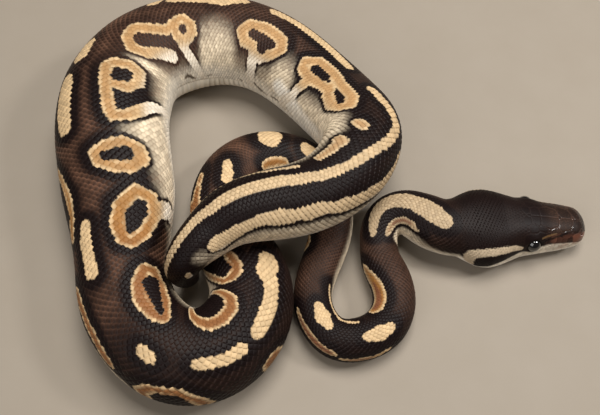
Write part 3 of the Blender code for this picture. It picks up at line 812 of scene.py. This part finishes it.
def plate_seeds():
    """Every plate and small scale of the head: points, the plate each belongs to, its reach."""
    spots, owner, reach = [], [], []

    def add(point, weight, fresh=True):
        owner.append((owner[-1] if owner else 0) + fresh)
        spots.append(point)
        reach.append(weight)

    for hand in (1, -1):
        for _, held, weight in PLATES:
            places = outline([x for x, _ in held], np.array([hand * a for _, a in held]))
            for index, place in enumerate(places):
                add(place, weight, index == 0)
        # Upper and lower lip scales, and a row of small ones over the upper lip.
        x = 38.6
        while x > 12.0:
            level = float(table(MOUTH_LINE, x)[0])
            add((x, hand * side_at(x, level + 1.0), level + 1.15), 0.75)
            add((x - 0.6, hand * side_at(x - 0.6, level - 1.0), level - 1.0), 0.55)
            if not 19.6 < x - 1.2 < 26.0 and x < 34:
                add((x - 1.2, hand * side_at(x - 1.2, level + 2.7), level + 2.7), 0.3)
            x -= LIP_PITCH * (0.62 + 0.38 * min(1.0, (x - 8) / 26))
        # A ring of small scales round the eye.
        for turn in np.radians(np.arange(20, 360, 36)):
            ring = eye_centre(hand) + [EYE_RING * math.cos(turn), 0, EYE_RING * math.sin(turn)]
            if ring[2] < EYE_PLACE[2] + 1.6:
                add((ring[0], hand * side_at(ring[0], ring[2]), ring[2]), 0.2)
    large, weights = np.array(spots), np.array(reach)
    chance = np.random.default_rng(31)
    x, row = 40.0, 0
    while x > 6.0:
        round_it = outline(np.full(361, x), np.arange(361.0))
        lap = np.r_[0, np.cumsum(np.linalg.norm(np.diff(round_it, axis=0), axis=1))]
        around = max(8, round(lap[-1] / CELL))
        at = (np.arange(around) + 0.5 * (row % 2)) * lap[-1] / around
        degrees = np.interp(at, lap, np.arange(361.0))
        shift = chance.uniform(-0.16, 0.16, (around, 2))
        places = outline(x + shift[:, 0], degrees + shift[:, 1] * 6)
        away = np.linalg.norm(places[:, None] - large[None], axis=2) - weights[None]
        for place, near in zip(places, away.min(axis=1)):
            if near > 0.62:
                add(place, 0.0)
        x -= CELL * 0.88
        row += 1
    return np.array(spots), np.array(owner), np.array(reach)


def side_at(x, level):
    """Half width of the head at a height."""
    turn = np.arange(0.0, 180.0, 2.0)
    around = outline(np.full(90, x), turn)
    order = np.argsort(around[:, 2])
    return float(np.interp(level, around[order, 2], around[order, 1]))


def carve_head(points, index, x, angle, masks):
    """Cuts the plates, mouth, pits, nostrils and eye sockets into the skin of the head."""
    origin, *directions = BODY.joint
    directions = np.array(directions)
    place = (points[index] - origin) @ directions.T
    out = outline(x, angle, 0.1) - outline(x, angle, 0.3)
    out = unit(out + 1e-9 * (place - place.mean(axis=0)))
    tip = smooth(38.0, 40.5, x)[:, None]
    out = unit(out * (1 - 0.7 * tip) + np.array([1.0, 0, 0]) * tip)

    # How far each point is from the border of its own plate.
    spots, owner, reach = plate_seeds()
    cell, border = np.zeros(len(place), int), np.zeros(len(place))
    for start in range(0, len(place), 3000):
        part = slice(start, start + 3000)
        away = np.linalg.norm(place[part][:, None] - spots[None], axis=2) - reach[None]
        best = away.argmin(axis=1)
        cell[part] = owner[best]
        first = away.min(axis=1)
        away[owner[None, :] == owner[best][:, None]] = FAR
        border[part] = (away.min(axis=1) - first) / 2
    fade = smooth(8.5, 14.0, x)
    groove = GROOVE * (1 - smooth(0.0, GROOVE_WIDTH, border))
    sink = fade * (0.55 + 0.45 * smooth(19, 25, x)) * (groove - DOME * smooth(0.1, 0.5, border))

    # The closed mouth, the nostrils, and the heat pits of the upper lip, each darkened with
    # painted shade.
    level = table(MOUTH_LINE, x)
    jaws = smooth(9.0, 12.0, x)
    # Painted shade along the mouth line, where the lips meet.
    dark = (1 - smooth(0.1, 0.3, np.abs(place[:, 2] - level))) * jaws
    sink = np.maximum(sink, MOUTH_DEPTH * dark)
    for hand in (1, -1):
        hole = outline([NOSTRIL[0]], np.array([hand * NOSTRIL[1]]))[0]
        away = np.linalg.norm((place - hole) / [1.25, 1.0, 1.0], axis=1)
        pit = 1 - smooth(0.12, 0.46, away)
        sink = sink + NOSTRIL_DEPTH * pit - 0.09 * np.exp(-(((away - 0.75) / 0.25) ** 2))
        # Painted shade inside the nostril.
        dark = np.maximum(dark, pit)
        for number in range(PIT_LABIALS + 1):
            at = 38.9 - number * LIP_PITCH * 0.97
            height = float(table(MOUTH_LINE, at)[0]) + 1.3
            spot = np.array([at + 0.4, hand * side_at(at + 0.4, height), height])
            if number == 0:
                spot = np.array([40.2, hand * 1.15, height + 0.1])
            pit = 1 - smooth(0.1, 0.4, np.linalg.norm((place - spot) / [1.0, 1.0, 1.3], axis=1))
            sink = sink + PIT_DEPTH * pit
            # Painted shade inside the heat pit.
            dark = np.maximum(dark, 0.85 * pit)
    place = place - out * sink[:, None]
    place[:, 1] *= 1 - 0.025 * smooth(0.0, 0.5, level - place[:, 2]) * jaws
    for hand in (1, -1):
        place = open_socket(place, hand, dark)
    points[index] = origin + place @ directions

    # Each plate has its own share of chance and its grooves their edge share, and the hollows
    # (mouth line, nostrils, heat pits, eye socket rim) are darkened with painted shade.
    tone = np.random.default_rng(77).random(owner.max() + 1)[cell]
    own = np.where(fade > 0.3, tone, 0.5)
    found = {name: values[index] for name, values in masks.items()}
    found["own"] = own
    found["edge"] = (0.45 - 0.12 * smooth(25, 29, x)) * fade * (1 - smooth(0.05, 0.26, border))
    found["ruddy"] *= 0.2 + 1.2 * own
    found["ground"] = np.maximum(found["ground"], dark)
    found["ground"] *= 1 - 0.5 * smooth(26, 30, x) * (tone > 0.62) * (x < 38)
    for name in ("mark", "pale", "white", "ruddy", "core"):
        found[name] *= 1 - dark
    for name, values in found.items():
        masks[name][index] = values


EYE_OPENING = 2.14
GAZE = (0.15, 0.93, 0.33)


def open_socket(place, hand, dark):
    """Sinks the skin behind the eye, lifts a low rim round it, and paints shade on the skin at the
    rim.
    """
    gaze = unit(np.array(GAZE) * [1, hand, 1])
    off = place - eye_centre(hand)
    along = off @ gaze
    wide = np.linalg.norm(off - along[:, None] * gaze, axis=1)
    near = (along > -0.6) & (wide < 3.4)
    ball = np.sqrt(np.maximum(EYE_RADIUS**2 - wide**2, 0.2))
    rim = math.sqrt(EYE_RADIUS**2 - EYE_OPENING**2) + 0.2
    outside = rim + (along - rim) * smooth(EYE_OPENING + 0.35, 3.4, wide)
    inside = ball - 0.55
    level = inside + (outside - inside) * smooth(EYE_OPENING - 0.22, EYE_OPENING + 0.1, wide)
    # Painted shade on the skin round the eye, darkest at the socket's rim.
    shade = 1 - smooth(EYE_OPENING - 0.1, EYE_OPENING + 0.5, wide)
    dark[near] = np.maximum(dark[near], shade[near])
    return np.where(near[:, None], place + gaze * (level - along)[:, None], place)


def scale_shape(material):
    """One scale: length runs along y towards the free tip, width along x, height along z."""
    turns = 12
    rim = []
    for t in np.arange(turns) * 2 * math.pi / turns:
        reach = (abs(math.cos(t)) ** 1.45 + abs(math.sin(t)) ** 1.45) ** (-1 / 1.45)
        rim.append((reach * math.sin(t), reach * math.cos(t)))
    points = [(0.0, 0.02, 1.0)]
    points += [(0.55 * x, 0.55 * y, 0.86 + 0.1 * y) for x, y in rim[::2]]
    points += [(x, y, 0.22 + 0.42 * smooth(-0.6, 1.0, y)) for x, y in rim]
    outer = 7
    faces = []
    for k in range(6):
        n = (k + 1) % 6
        a, b, c = outer + 2 * k, outer + 2 * k + 1, outer + (2 * k + 2) % turns
        faces += [(0, 1 + n, 1 + k), (1 + k, b, a), (1 + k, 1 + n, b), (1 + n, c, b)]
    # A skirt under the free tip only: the rest of the rim is inside the skin.
    free = [k for k in range(turns) if rim[k][1] > -0.35]
    skirt = {k: len(points) + i for i, k in enumerate(free)}
    points += [(0.96 * rim[k][0], 0.96 * rim[k][1], -0.35) for k in free]
    for k in free:
        n = (k + 1) % turns
        if n in skirt:
            faces.append((outer + k, outer + n, skirt[n], skirt[k]))
    mesh = bpy.data.meshes.new("scale_shape")
    mesh.from_pydata(points, [], faces)
    mesh.shade_smooth()
    mesh.set_sharp_from_angle(angle=math.radians(50))
    mesh.materials.append(material)
    flat = np.array(points) * [1, 1, 0]
    store(mesh, "edge", np.minimum(1.0, np.linalg.norm(flat, axis=1)) ** 1.6)
    store(mesh, "patch", flat, "FLOAT_VECTOR")
    return bpy.data.objects.new("scale_shape", mesh)


def add_node(tree, kind, inputs=(), **settings):
    """A new node with its settings, and its inputs set to values or joined to sockets."""
    node = tree.nodes.new(kind)
    for name, value in settings.items():
        setattr(node, name, value)
    for key, value in dict(inputs).items():
        if isinstance(value, bpy.types.NodeSocket):
            tree.links.new(value, node.inputs[key])
        else:
            node.inputs[key].default_value = value
    return node.outputs


def math_node(tree, operation, a, b=0.0, clamp=False):
    inputs = {0: a, 1: b}
    return add_node(tree, "ShaderNodeMath", inputs, operation=operation, use_clamp=clamp)[0]


def named_sockets(tree, in_out, **sockets):
    """New inputs or outputs of a node group, from their names and types."""
    for name, kind in sockets.items():
        name = name.replace("_", " ")
        tree.interface.new_socket(name, in_out=in_out, socket_type="NodeSocket" + kind)


def scale_tree():
    """Geometry Nodes: lays a scale on each point, turned and sized by the point's own values."""
    tree = bpy.data.node_groups.new("lay_scales", "GeometryNodeTree")
    named_sockets(
        tree, "INPUT", Geometry="Geometry", Scale_Shape="Object", Finish="Material",
        Size_Spread="Float", Seed="Int",
    )
    named_sockets(tree, "OUTPUT", Geometry="Geometry")

    def named(name, kind):
        return add_node(tree, "GeometryNodeInputNamedAttribute", {"Name": name}, data_type=kind)[0]

    given = tree.nodes.new("NodeGroupInput").outputs
    shape = add_node(tree, "GeometryNodeObjectInfo", {"Object": given["Scale Shape"]})
    least = math_node(tree, "SUBTRACT", 1.0, given["Size Spread"])
    most = math_node(tree, "ADD", 1.0, given["Size Spread"])
    chance = add_node(
        tree, "FunctionNodeRandomValue", {2: least, 3: most, "Seed": given["Seed"]},
        data_type="FLOAT",
    )[1]
    size = {0: named("size", "FLOAT_VECTOR"), "Scale": chance}
    laid = {
        "Points": given["Geometry"],
        "Instance": shape["Geometry"],
        "Rotation": named("turn", "QUATERNION"),
        "Scale": add_node(tree, "ShaderNodeVectorMath", size, operation="SCALE")["Vector"],
    }
    laid = add_node(tree, "GeometryNodeInstanceOnPoints", laid)[0]
    real = add_node(tree, "GeometryNodeRealizeInstances", {"Geometry": laid})[0]
    finished = {"Geometry": real, "Material": given["Finish"]}
    finished = add_node(tree, "GeometryNodeSetMaterial", finished)[0]
    add_node(tree, "NodeGroupOutput", {"Geometry": finished})
    return tree


def set_input(modifier, name, value):
    for item in modifier.node_group.interface.items_tree:
        if item.item_type == "SOCKET" and item.in_out == "INPUT" and item.name == name:
            modifier[item.identifier] = value


def lattice():
    """Roots of all the scales: place, degrees, and the steps along and across."""
    roots = []
    s, index = FIRST_SCALE, 0
    while s < LAST_SCALE:
        pitch = float(table(SCALE_PITCH, s)[0])
        step = float(table(ROW_STEP, s)[0])
        reach = 178.0 - (178.0 - BELLY_EDGE) * float(smooth(4.0, 9.0, s))
        most = int(reach / step)
        rows = range(-most, most + 1)
        roots += [(s, row * step, pitch, step) for row in rows if (row + index) % 2 == 0]
        s += pitch / 2
        index += 1
    return np.array(roots)


def quaternions(across, ahead, out):
    """Turns that carry x, y, z onto the three given directions, as w, x, y, z."""
    m = np.stack([across, ahead, out], axis=-1)
    w = np.sqrt(np.maximum(1 + m[:, 0, 0] + m[:, 1, 1] + m[:, 2, 2], 1e-12)) / 2
    x = np.sqrt(np.maximum(1 + m[:, 0, 0] - m[:, 1, 1] - m[:, 2, 2], 0)) / 2
    y = np.sqrt(np.maximum(1 - m[:, 0, 0] + m[:, 1, 1] - m[:, 2, 2], 0)) / 2
    z = np.sqrt(np.maximum(1 - m[:, 0, 0] - m[:, 1, 1] + m[:, 2, 2], 0)) / 2
    x = np.copysign(x, m[:, 2, 1] - m[:, 1, 2])
    y = np.copysign(y, m[:, 0, 2] - m[:, 2, 0])
    z = np.copysign(z, m[:, 1, 0] - m[:, 0, 1])
    return np.stack([w, x, y, z], axis=1)


def unit(v):
    return v / np.maximum(np.linalg.norm(v, axis=-1, keepdims=True), 1e-12)


LEAST_CROWDING = 0.42  # of its usual length, that a scale keeps inside a tight bend
SCALE_HEIGHT = 0.27
SCALE_TILT = 0.055
SIZE_SPREAD = 0.04  # most that chance adds to a scale's size, or takes off
SCALE_OVERLAP = 0.70  # half length over pitch
SCALE_SPREAD = 0.99  # half width over row step


def build_scales(name, roots, shape, tree, material, seed):
    """One piece of the coat: a scale on each root, leaning along the body over the next."""
    s, phi, pitch, step = roots.T
    first, last = s[0], s[-1] + 0.01
    depth = SKIN_DEPTH - 0.015
    here = surface(s, phi, depth)
    along = (surface(s + 0.3, phi, depth) - surface(s - 0.3, phi, depth)) / 0.6
    across = (surface(s, phi + 1.0, depth) - surface(s, phi - 1.0, depth)) / 2.0
    out = unit(np.cross(along, across))
    centre = BODY.at(np.maximum(s, 0))[:, :3]
    out = out * np.sign((out * (here - centre)).sum(axis=1))[:, None]
    ahead = unit(along - out * (along * out).sum(axis=1)[:, None])
    wide = np.cross(ahead, out)

    # On the head and the nape the scales are small, flat and smooth.
    flat = 1 - smooth(-5.0, 15.0, s)
    stretch = np.clip(np.linalg.norm(along, axis=1), LEAST_CROWDING, 1.3)
    length = SCALE_OVERLAP * pitch * stretch
    width = SCALE_SPREAD * step * np.linalg.norm(across, axis=1)
    height = SCALE_HEIGHT * np.clip(pitch / 1.7, 0.55, 1.0) * (1 - 0.92 * flat)
    height = height * (1 + 0.5 * within(s, 30, 40, 105, 120))
    lean = unit(ahead + out * (SCALE_TILT * (1 - 0.95 * flat))[:, None])
    turn = quaternions(wide, lean, np.cross(wide, lean))

    mesh = bpy.data.meshes.new(name + "_roots")
    mesh.from_pydata((here * MM).tolist(), [], [])
    lanes = max(1, round(math.sqrt((last - first) / 90)))
    none = np.zeros(len(s))
    store(mesh, "turn", turn, "QUATERNION")
    store(mesh, "own", np.random.default_rng(seed).random(len(s)))
    for label, columns in (
        ("size", (width * MM, length * MM, height * MM)),
        ("spot", (s, phi, none)),
        ("reach", (SCALE_OVERLAP * pitch, SCALE_SPREAD * step, none)),
        ("root", (*unwrap(s, phi, first, last, lanes).T, none)),
    ):
        store(mesh, label, np.stack(columns, axis=1), "FLOAT_VECTOR")
    bed = in_scene(name + "_bed", mesh)
    modifier = bed.modifiers.new("scales", "NODES")
    modifier.node_group = tree
    set_input(modifier, "Scale Shape", shape)
    set_input(modifier, "Finish", material)
    set_input(modifier, "Size Spread", SIZE_SPREAD)
    set_input(modifier, "Seed", seed)
    coat = plain_mesh(name, bed)
    colour_scales(coat.data)
    return coat


EDGE_SHARPNESS = 0.6  # how far into a scale the edge of a mark may cut, 0 for not at all
BAKE_PATCH = 0.003  # a scale's width on the unwrap


def colour_scales(mesh):
    """Gives each point of the scales its colours, from a place near the root of its scale."""
    spot, reach, patch = (stored(mesh, name) for name in ("spot", "reach", "patch"))
    s = spot[:, 0] + EDGE_SHARPNESS * patch[:, 1] * reach[:, 0]
    phi = spot[:, 1] + EDGE_SHARPNESS * patch[:, 0] * reach[:, 1]
    for name, values in all_masks(s, phi, stored(mesh, "own", 1)).items():
        if name not in ("own", "edge"):
            store(mesh, name, values)
    faint = stored(mesh, "edge", 1) * (0.2 + 0.8 * smooth(-6, 8, spot[:, 0]))
    mesh.attributes["edge"].data.foreach_set("value", faint.astype(np.float32))
    points = np.zeros(len(mesh.vertices) * 3, np.float32)
    mesh.vertices.foreach_get("co", points)
    points[2::3] = np.maximum(points[2::3], 0.0)
    mesh.vertices.foreach_set("co", points)
    bake_map(mesh, stored(mesh, "root")[:, :2] + BAKE_PATCH / 2 * patch[:, :2])
    for name in ("root", "patch", "turn", "size", "spot", "reach"):
        if name in mesh.attributes:
            mesh.attributes.remove(mesh.attributes[name])


def plain_mesh(name, bed):
    """The evaluated result of an object's modifiers as an object of its own; the object goes."""
    graph = bpy.context.evaluated_depsgraph_get()
    mesh = bpy.data.meshes.new_from_object(bed.evaluated_get(graph))
    mesh.name = name
    bed.modifiers.clear()
    bpy.data.objects.remove(bed, do_unlink=True)
    return in_scene(name, mesh)


PLATE_PITCH = [
    (8, 1.9), (60, 2.0), (200, 2.5), (320, 2.9), (430, 2.7), (490, 2.2), (534, 1.3),
]
BELLY_START = 7.0
# How high a plate stands at shares of its length, up to the step down to the next.
PLATE_STEP = [(0.0, 0.0), (0.45, 0.1), (0.93, 0.17), (0.985, 0.15)]


def build_belly(material):
    """The wide plates under the belly, each stepping up at its free edge over the next."""
    half = 180 - BELLY_EDGE + 2.0
    phi = np.linspace(180 - half, 180 + half, 21)
    stations, s = [], BELLY_START
    while s < TAIL_TIP - 2:
        pitch = float(table(PLATE_PITCH, s)[0])
        stations += [(s + share * pitch, height) for share, height in PLATE_STEP]
        s += pitch
    stations, lift = np.array(stations).T
    grid_s, grid_phi = np.meshgrid(stations, phi, indexing="ij")
    ends = 1 - smooth(0.86, 1.0, np.abs(grid_phi - 180) / half)
    depth = SKIN_DEPTH - 0.03 - lift[:, None] * (0.35 + 0.65 * ends) + 0.10 * (1 - ends)
    points = surface(grid_s, grid_phi, np.maximum(depth, 0.01)).reshape(-1, 3)
    points[:, 2] = np.maximum(points[:, 2], 0.01)
    count = len(phi)
    faces = []
    for i in range(len(stations) - 1):
        for k in range(i * count, i * count + count - 1):
            faces.append((k, k + 1, k + count + 1, k + count))
    belly = new_object("belly_plates", points, faces, material)
    s, turn = grid_s.ravel(), grid_phi.ravel()
    turn_out(belly.data, s, points)
    chance = np.random.default_rng(9).random(len(stations)).repeat(count)
    for name, values in all_masks(s, np.remainder(turn + 180, 360) - 180, chance).items():
        store(belly.data, name, values)
    bake_map(belly.data, unwrap(s, (turn - 180) * 3.9, BELLY_START, TAIL_TIP, 8))
    return belly


def turn_out(mesh, s, points):
    """Turns the faces of an open sheet round if they face the body's middle line."""
    face = mesh.polygons[len(mesh.polygons) // 2]
    index = face.vertices[0]
    away = points[index] - BODY.at(np.array([max(s[index], 0.0)]))[0, :3]
    if np.dot(face.normal, away) < 0:
        mesh.flip_normals()


# ---------------------------------------------------------------- materials


def mix(tree, a, b, factor):
    """A mix of two colours, by a factor: values, or sockets that give them."""
    a, b = ((*colour, 1.0) if isinstance(colour, tuple) else colour for colour in (a, b))
    return add_node(tree, "ShaderNodeMix", {0: factor, 6: a, 7: b}, data_type="RGBA")[2]


def noise(tree, place, size, detail=2.0, rough=0.5):
    inputs = {"Vector": place, "Scale": size, "Detail": detail, "Roughness": rough}
    return add_node(tree, "ShaderNodeTexNoise", inputs)["Fac"]


def new_material(name, finish):
    """A material with plain values on its shader's sockets, and a piece's own place in space."""
    material = bpy.data.materials.new(name)
    material.use_nodes = True
    tree = material.node_tree
    shader = tree.nodes["Principled BSDF"].inputs
    for socket, value in finish.items():
        shader[socket].default_value = value
    return material, tree, shader, add_node(tree, "ShaderNodeTexCoord")["Object"]


COLOURS = {
    "black": (0.0048, 0.0021, 0.0021),
    "black_edge": (0.0100, 0.0058, 0.0052),
    "brown": (0.022, 0.0115, 0.0075),
    "brown_edge": (0.150, 0.074, 0.046),
    "cream": (0.55, 0.395, 0.225),
    "cream_edge": (0.37, 0.245, 0.125),
    "tan": (0.295, 0.135, 0.034),
    "tan_edge": (0.22, 0.092, 0.022),
    "flank": (0.70, 0.585, 0.425),
    "flank_dark": (0.22, 0.160, 0.110),
    "white": (0.88, 0.83, 0.74),
    "white_edge": (0.46, 0.38, 0.29),
    "ruddy": (0.15, 0.055, 0.033),
}
EYE_COLOURS = (0.002, 0.002, 0.002), (0.006, 0.004, 0.004)
FLOOR_COLOURS = (0.228, 0.192, 0.150), (0.252, 0.216, 0.174)
FLOOR_HALF = 1500.0
BUMP_HEIGHT = 0.0001  # m
# How many uneven patches of each kind there are to a metre.
MOTTLE, RELIEF, SPECK, STREAK, FLOOR_GRAIN = 130.0, 1100.0, 3200.0, 1400.0, 60.0


def colour_group():
    """Shader group: the snake's colour from its pattern masks."""
    tree = bpy.data.node_groups.new("snake_colour", "ShaderNodeTree")
    named_sockets(tree, "INPUT", **{name.capitalize(): "Float" for name in MASKS}, Place="Vector")
    named_sockets(tree, "OUTPUT", Colour="Color", Relief="Float")
    given = tree.nodes.new("NodeGroupInput").outputs
    place, own, edge = given["Place"], given["Own"], given["Edge"]

    def times(a, b, clamp=False):
        return math_node(tree, "MULTIPLY", a, b, clamp)

    def minus(a, b, clamp=False):
        return math_node(tree, "SUBTRACT", a, b, clamp)

    def plus(a, b):
        return math_node(tree, "ADD", a, b)

    def edged(name, strength):
        """A colour that turns to its edge colour at the borders of each scale."""
        share = times(edge, strength, True)
        return mix(tree, COLOURS[name], COLOURS[name + "_edge"], share)

    mottled = times(minus(noise(tree, place, MOTTLE, 3.0, 0.6), 0.15), 2.2, True)
    speck = times(minus(noise(tree, place, SPECK, 1.0, 0.5), 0.55), 3.0, True)
    lift = times(mottled, math_node(tree, "MAXIMUM", edge, speck))
    brown = mix(tree, COLOURS["brown"], COLOURS["brown_edge"], lift)
    dark = mix(tree, brown, edged("black", 0.8), given["Ground"])
    worn = minus(plus(times(own, 0.3), 0.78), times(edge, 0.62), True)
    flank = mix(tree, COLOURS["flank_dark"], COLOURS["flank"], worn)
    side = mix(tree, dark, flank, given["Pale"])
    belly = mix(tree, side, edged("white", 0.7), given["White"])
    marked = mix(tree, edged("cream", 0.55), edged("tan", 0.6), given["Core"])
    marked = mix(tree, marked, belly, times(given["White"], 0.7))
    whole = mix(tree, belly, marked, given["Mark"])
    ruddy = mix(tree, whole, COLOURS["ruddy"], given["Ruddy"])
    shaded = {"Color": ruddy, "Value": plus(times(own, 0.26), 0.87)}
    colour = add_node(tree, "ShaderNodeHueSaturation", shaded)["Color"]
    relief = noise(tree, place, RELIEF, 3.0, 0.6)
    add_node(tree, "NodeGroupOutput", {"Colour": colour, "Relief": relief})
    return tree


def snake_material(name, group, roughness, bump, specular, gloss=0.0):
    """A finish of the snake: the shared colours, with its own gloss and fine relief."""
    finish = {"Roughness": roughness, "Specular IOR Level": specular}
    if gloss:
        finish["Coat Roughness"] = 0.1
    material, tree, shader, place = new_material(name, finish)

    def attribute(mask):
        return add_node(tree, "ShaderNodeAttribute", attribute_name=mask)["Fac"]

    inputs = {mask.capitalize(): attribute(mask) for mask in MASKS}
    colours = add_node(tree, "ShaderNodeGroup", {**inputs, "Place": place}, node_tree=group)
    bumped = {"Strength": bump, "Distance": BUMP_HEIGHT, "Height": colours["Relief"]}
    tree.links.new(colours["Colour"], shader["Base Color"])
    tree.links.new(add_node(tree, "ShaderNodeBump", bumped)["Normal"], shader["Normal"])
    if gloss:
        share = math_node(tree, "MULTIPLY", attribute("gloss"), gloss)
        tree.links.new(share, shader["Coat Weight"])
    return material


def eye_material():
    """Black with the faintest brown streaks, under a clear wet coat."""
    finish = {
        "Roughness": 0.06, "Specular IOR Level": 0.5, "Coat Weight": 1.0, "Coat Roughness": 0.03,
    }
    material, tree, shader, place = new_material("eye_gloss", finish)
    streak = noise(tree, place, STREAK, 4.0, 0.6)
    tree.links.new(mix(tree, *EYE_COLOURS, streak), shader["Base Color"])
    return material


def build_eye(name, hand, material):
    """A ball from its top point to its lowest, in rings."""
    centre = from_head(eye_centre(hand))
    rings, sides = 24, 40
    t, a = np.meshgrid(np.arange(1, rings), np.arange(sides), indexing="ij")
    t, a = t.ravel() * math.pi / rings, a.ravel() * 2 * math.pi / sides
    ball = np.stack([np.sin(t) * np.cos(a), np.sin(t) * np.sin(a), np.cos(t)], axis=1)
    ball = np.vstack([[0, 0, 1], ball, [0, 0, -1]])
    last = 1 + (rings - 2) * sides
    faces = []
    for k in range(sides):
        n = (k + 1) % sides
        faces += [(0, 1 + k, 1 + n), (len(ball) - 1, last + n, last + k)]
        for row in range(1, last, sides):
            faces.append((row + k, row + sides + k, row + sides + n, row + n))
    return new_object(name, centre + EYE_RADIUS * ball, faces, material)


# ---------------------------------------------------------------- floor, light and camera


def build_floor():
    """A plain, faintly uneven floor, which is only in the renders."""
    material, tree, shader, place = new_material("pale_floor", {"Roughness": 0.7})
    grain = noise(tree, place, FLOOR_GRAIN, 3.0, 0.6)
    tree.links.new(mix(tree, *FLOOR_COLOURS, grain), shader["Base Color"])
    corners = np.array([(-1, -1, 0), (1, -1, 0), (1, 1, 0), (-1, 1, 0)]) * FLOOR_HALF
    floor = new_object("floor", corners, [(0, 1, 2, 3)], material)


ROOM_LIGHT = 0.09
# Each lamp's name, its place and aim in metres, its size, power and colour.
LAMPS = [
    ("key", (0.10, 0.2, 0.85), (0, 0, 0), 0.45, 9.6, (1.0, 0.97, 0.92)),
    ("glint", (0.455, 0.034, 0.468), (0.07, 0, 0), 0.1, 2.0, (1.0, 0.99, 0.97)),
    ("fill", (-0.4, -0.45, 0.6), (0, 0, 0), 0.6, 2.8, (1.0, 0.98, 0.95)),
]


def light_scene():
    """A soft pale room with three square lamps."""
    world = bpy.data.worlds.new("soft_room")
    world.use_nodes = True
    back = world.node_tree.nodes["Background"]
    back.inputs["Color"].default_value = (1.0, 0.985, 0.96, 1.0)
    back.inputs["Strength"].default_value = ROOM_LIGHT
    bpy.context.scene.world = world
    for name, place, aim, size, power, colour in LAMPS:
        data = bpy.data.lights.new(name, "AREA")
        data.size, data.energy, data.color = size, power, colour
        lamp = in_scene(name, data)
        lamp.location = place
        lamp.rotation_euler = (Vector(aim) - Vector(place)).to_track_quat("-Z", "Y").to_euler()
    bpy.context.scene.view_settings.view_transform = "Standard"


LENS = 46.5
VIEW_DISTANCE = 248.0  # mm
VIEW_ANGLE = 62.0  # degrees below the horizontal


def add_camera():
    """Looks down at the middle of the part's footprint."""
    data = bpy.data.cameras.new("view")
    data.lens, data.sensor_width, data.clip_start = LENS, 36.0, 0.01
    down = math.radians(VIEW_ANGLE)
    back, rise = VIEW_DISTANCE * math.cos(down), VIEW_DISTANCE * math.sin(down)
    camera = in_scene("view", data)
    camera.location = (-CENTRE[0] * MM, (-CENTRE[1] - back) * MM, rise * MM)
    camera.rotation_euler = (math.pi / 2 - down, 0.0, 0.0)
    bpy.context.scene.camera = camera


FLESH = [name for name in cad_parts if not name.startswith("eye_")]

add_camera()
light_scene()
build_floor()
group = colour_group()
skin_finish = snake_material("python_skin", group, 0.46, 0.085, 0.11, 0.9)
scale_finish = snake_material("scale_horn", group, 0.46, 0.075, 0.1)
belly_finish = snake_material("belly_plate", group, 0.42, 0.1, 0.25)
skin = build_skin(skin_finish)
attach(skin, "root")
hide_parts(*FLESH)
shape = scale_shape(scale_finish)
tree = scale_tree()
roots = lattice()
pieces = math.ceil(len(roots) / SCALES_IN_PIECE)
for index, part in enumerate(np.array_split(roots, pieces)):
    coat = build_scales("scales_%d" % (index + 1), part, shape, tree, scale_finish, 20 + index)
    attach(coat, "root")
bpy.data.objects.remove(shape, do_unlink=True)
belly = build_belly(belly_finish)
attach(belly, "root")
gloss = eye_material()
for name, hand in (("left", 1), ("right", -1)):
    eye = build_eye("eyeball_" + name, hand, gloss)
    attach(eye, "root")
    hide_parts("eye_" + name)
